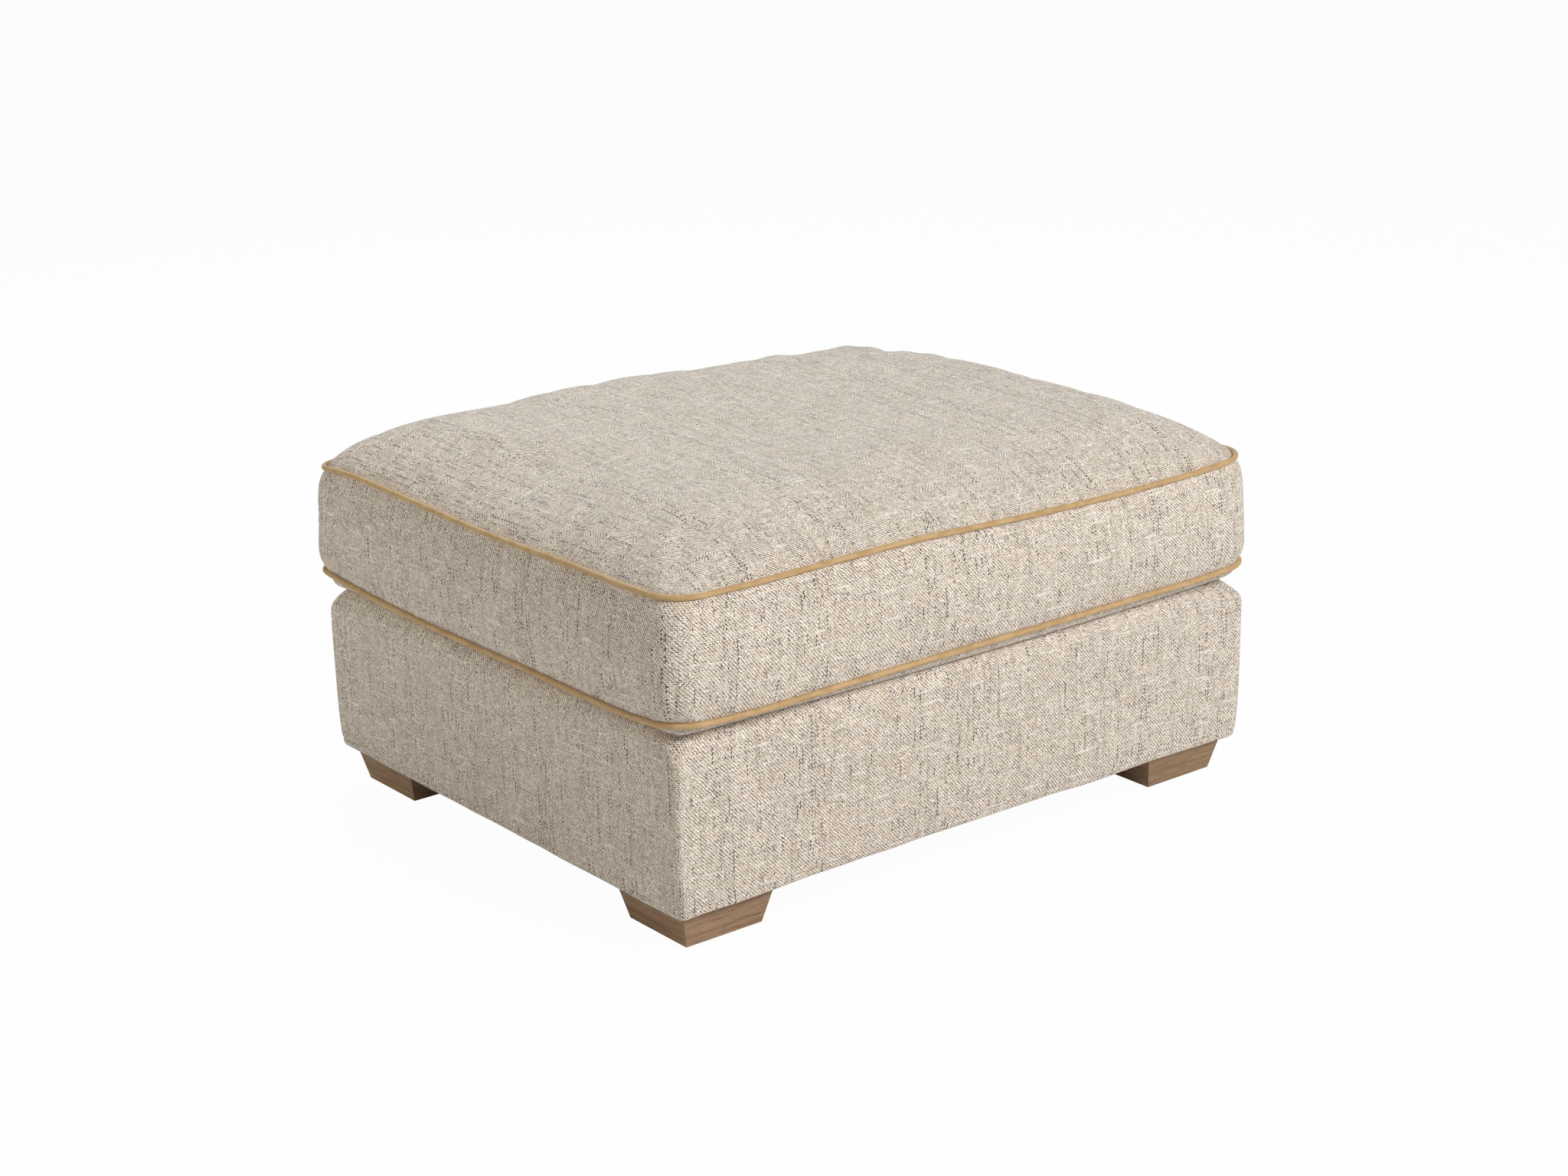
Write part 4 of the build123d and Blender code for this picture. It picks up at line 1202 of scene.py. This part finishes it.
def make_tapes():
    """Two strips of tape that nearly meet behind the teeth."""
    verts, faces, uvs = [], [], []
    slit, edge = 0.35 * mm, tape_high.z - zip_level
    thick = tape_high.y - tape_low.y
    section = ((slit, 0.1), (slit, 0.9), (edge, 0.9), (edge, 0.1))
    steps = 60
    for hand in (-1, 1):
        for i in range(steps + 1):
            x = tape_low.x + (tape_high.x - tape_low.x) * i / steps
            start = len(verts)
            for off, depth in section:
                wave = 0.12 * mm * ripple(x, off, hand, 12 * mm) * (off == edge)
                verts.append((x, tape_low.y + thick * depth + wave, zip_level + hand * off))
            if i:
                for k in range(4):
                    after = (k + 1) % 4
                    cell = [start - 4 + k, start - 4 + after, start + after, start + k]
                    if hand > 0:
                        cell.reverse()
                    faces.append(cell)
                    uvs.append([(verts[c][0], verts[c][2] + verts[c][1]) for c in cell])
            if i in (0, steps):
                cap = [start, start + 1, start + 2, start + 3]
                if (i == 0) == (hand > 0):
                    cap.reverse()
                faces.append(cap)
                uvs.append([(verts[c][2], verts[c][1]) for c in cap])
    piece = new_piece("zip_tapes", verts, faces, uvs)
    piece.data.polygons.foreach_set("use_smooth", [False] * len(piece.data.polygons))
    return piece


tapes = dress(make_tapes(), finishes["zip_cloth"])
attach(tapes, "cushion")
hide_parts("zip_tape")

row_width = (teeth_high.z - teeth_low.z) / 2
tooth = rounded_bar("tooth", 0.72 * tooth_pitch, teeth_high.y - teeth_low.y, row_width - 0.7 * mm)
teeth_middle = (teeth_low.y + teeth_high.y) / 2
tooth_rows = []
for hand in (-1, 1):
    level = zip_level + hand * (row_width / 2 + 0.3 * mm)
    shift = tooth_pitch / 4 * hand
    ends = (teeth_low.x + tooth_pitch / 2 + shift, teeth_high.x - tooth_pitch / 2 + shift)
    tooth_rows.append([Vector((x, teeth_middle, level)) for x in ends])
teeth = along_path("zip_coil", repeat_tree, tooth_rows, tooth_pitch, tooth, finishes["zip_nylon"])
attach(teeth, "cushion")
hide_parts("zip_teeth")

stitch = rounded_bar("stitch", 0.78 * stitch_pitch, 2 * stitch_radius, 2 * stitch_radius)
stitch_rows = []
for hand in (-1, 1):
    level = zip_level + hand * (slot_half + 3.2 * mm)
    share = (upper.level - level) / (upper.level - lower.level)
    line = []
    for k in range(2 * stitch_steps + 1):
        a = (k / stitch_steps - 1) * (slot_line + 4 * mm) / upper.half_x
        line.append(boxing_point(a, 1.0, share) + Vector((0, 0.1 * mm, 0)))
    stitch_rows.append(line)
stitches = along_path("zip_stitches", repeat_tree, stitch_rows, stitch_pitch, stitch, sewing_thread())
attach(stitches, "cushion")


# Camera, at the photograph's place and angle

image_width = 2048
focal_pixels = 3794.88
sensor_width = 36
camera_azimuth = math.radians(-38.108)
camera_elevation = math.radians(17.939)
camera_roll = math.radians(-1.1746)
camera_distance = 3.9608
camera_slide, camera_lift = -0.00015, 0.2514
floor_to_wood = 0.0025

back = Vector((
    math.sin(camera_azimuth) * math.cos(camera_elevation),
    -math.cos(camera_azimuth) * math.cos(camera_elevation),
    math.sin(camera_elevation),
))
level_right = Vector((math.cos(camera_azimuth), math.sin(camera_azimuth), 0))
level_up = back.cross(level_right)
right = level_right * math.cos(camera_roll) + level_up * math.sin(camera_roll)
up = level_up * math.cos(camera_roll) - level_right * math.sin(camera_roll)
stand = back * camera_distance + level_right * camera_slide + level_up * camera_lift
camera = bpy.data.objects.new("camera", bpy.data.cameras.new("camera"))
camera.data.sensor_width = sensor_width
camera.data.lens = focal_pixels / image_width * sensor_width
camera_turn = Matrix((right, up, back)).transposed().to_4x4()
camera.matrix_world = Matrix.Translation(stand + Vector((0, 0, floor_to_wood))) @ camera_turn
scene.collection.objects.link(camera)
scene.camera = camera


# Floor, world and lamps

white = (1, 1, 1, 1)
floor_reach = 12.0
floor_grey = (0.8, 0.8, 0.8, 1)
floor_glow = 0.97
world_tone = (1, 0.965, 0.9, 1)
world_strength = 0.22
lamps_aim = Vector((0, 0, 0.25))


def make_floor():
    """A wide pale floor that keeps the shadow, looks white to the camera and is clear from below."""
    turns = ((-1, -1), (1, -1), (1, 1), (-1, 1))
    floor = new_piece("floor", [(x * floor_reach, y * floor_reach, 0) for x, y in turns], [(0, 1, 2, 3)])
    finish = Finish("floor_white", Base_Color=floor_grey, Roughness=0.9, Specular_IOR_Level=0.1)
    glow = finish.node("ShaderNodeEmission", None, {"Color": white, "Strength": 1.0})
    seen = finish.node("ShaderNodeLightPath", output="Is Camera Ray") * floor_glow
    lit = Field(finish, finish.shader.outputs[0])
    pale = finish.node("ShaderNodeMixShader", None, {0: seen, 1: lit, 2: glow})
    clear = finish.node("ShaderNodeBsdfTransparent", None, {"Color": white})
    below = finish.node("ShaderNodeNewGeometry", output="Backfacing")
    mixed = finish.node("ShaderNodeMixShader", None, {0: below, 1: pale, 2: clear})
    finish.tree.links.new(mixed.socket, finish.tree.nodes["Material Output"].inputs["Surface"])
    dress(floor, finish.material)


def make_world():
    """Soft light from all round, with a plain white background for the camera."""
    world = bpy.data.worlds.new("studio")
    world.use_nodes = True
    tree = world.node_tree
    light = tree.nodes["Background"]
    light.inputs["Color"].default_value = world_tone
    light.inputs["Strength"].default_value = world_strength
    backdrop = tree.nodes.new("ShaderNodeBackground")
    backdrop.inputs["Color"].default_value = white
    mix = tree.nodes.new("ShaderNodeMixShader")
    path = tree.nodes.new("ShaderNodeLightPath")
    tree.links.new(path.outputs["Is Camera Ray"], mix.inputs[0])
    tree.links.new(light.outputs[0], mix.inputs[1])
    tree.links.new(backdrop.outputs[0], mix.inputs[2])
    tree.links.new(mix.outputs[0], tree.nodes["World Output"].inputs["Surface"])
    scene.world = world


def make_lamp(name, place, size, power, colour):
    """A square soft box that looks at the object."""
    lamp = bpy.data.objects.new(name, bpy.data.lights.new(name, "AREA"))
    lamp.data.size, lamp.data.energy, lamp.data.color = size, power, colour
    turn = (lamps_aim - Vector(place)).to_track_quat("-Z", "Y").to_matrix()
    lamp.matrix_world = Matrix.Translation(place) @ turn.to_4x4()
    scene.collection.objects.link(lamp)


make_floor()
make_world()
make_lamp("key", (0.9, -4.6, 3.6), 2.0, 234, (0.99, 0.995, 1))
make_lamp("overhead", (0.7, 2.4, 2.9), 1.8, 55, (0.83, 0.94, 1))
make_lamp("fill", (-2.6, 1.0, 1.6), 1.4, 19, (1, 0.96, 0.88))

scene.view_settings.view_transform = "Standard"
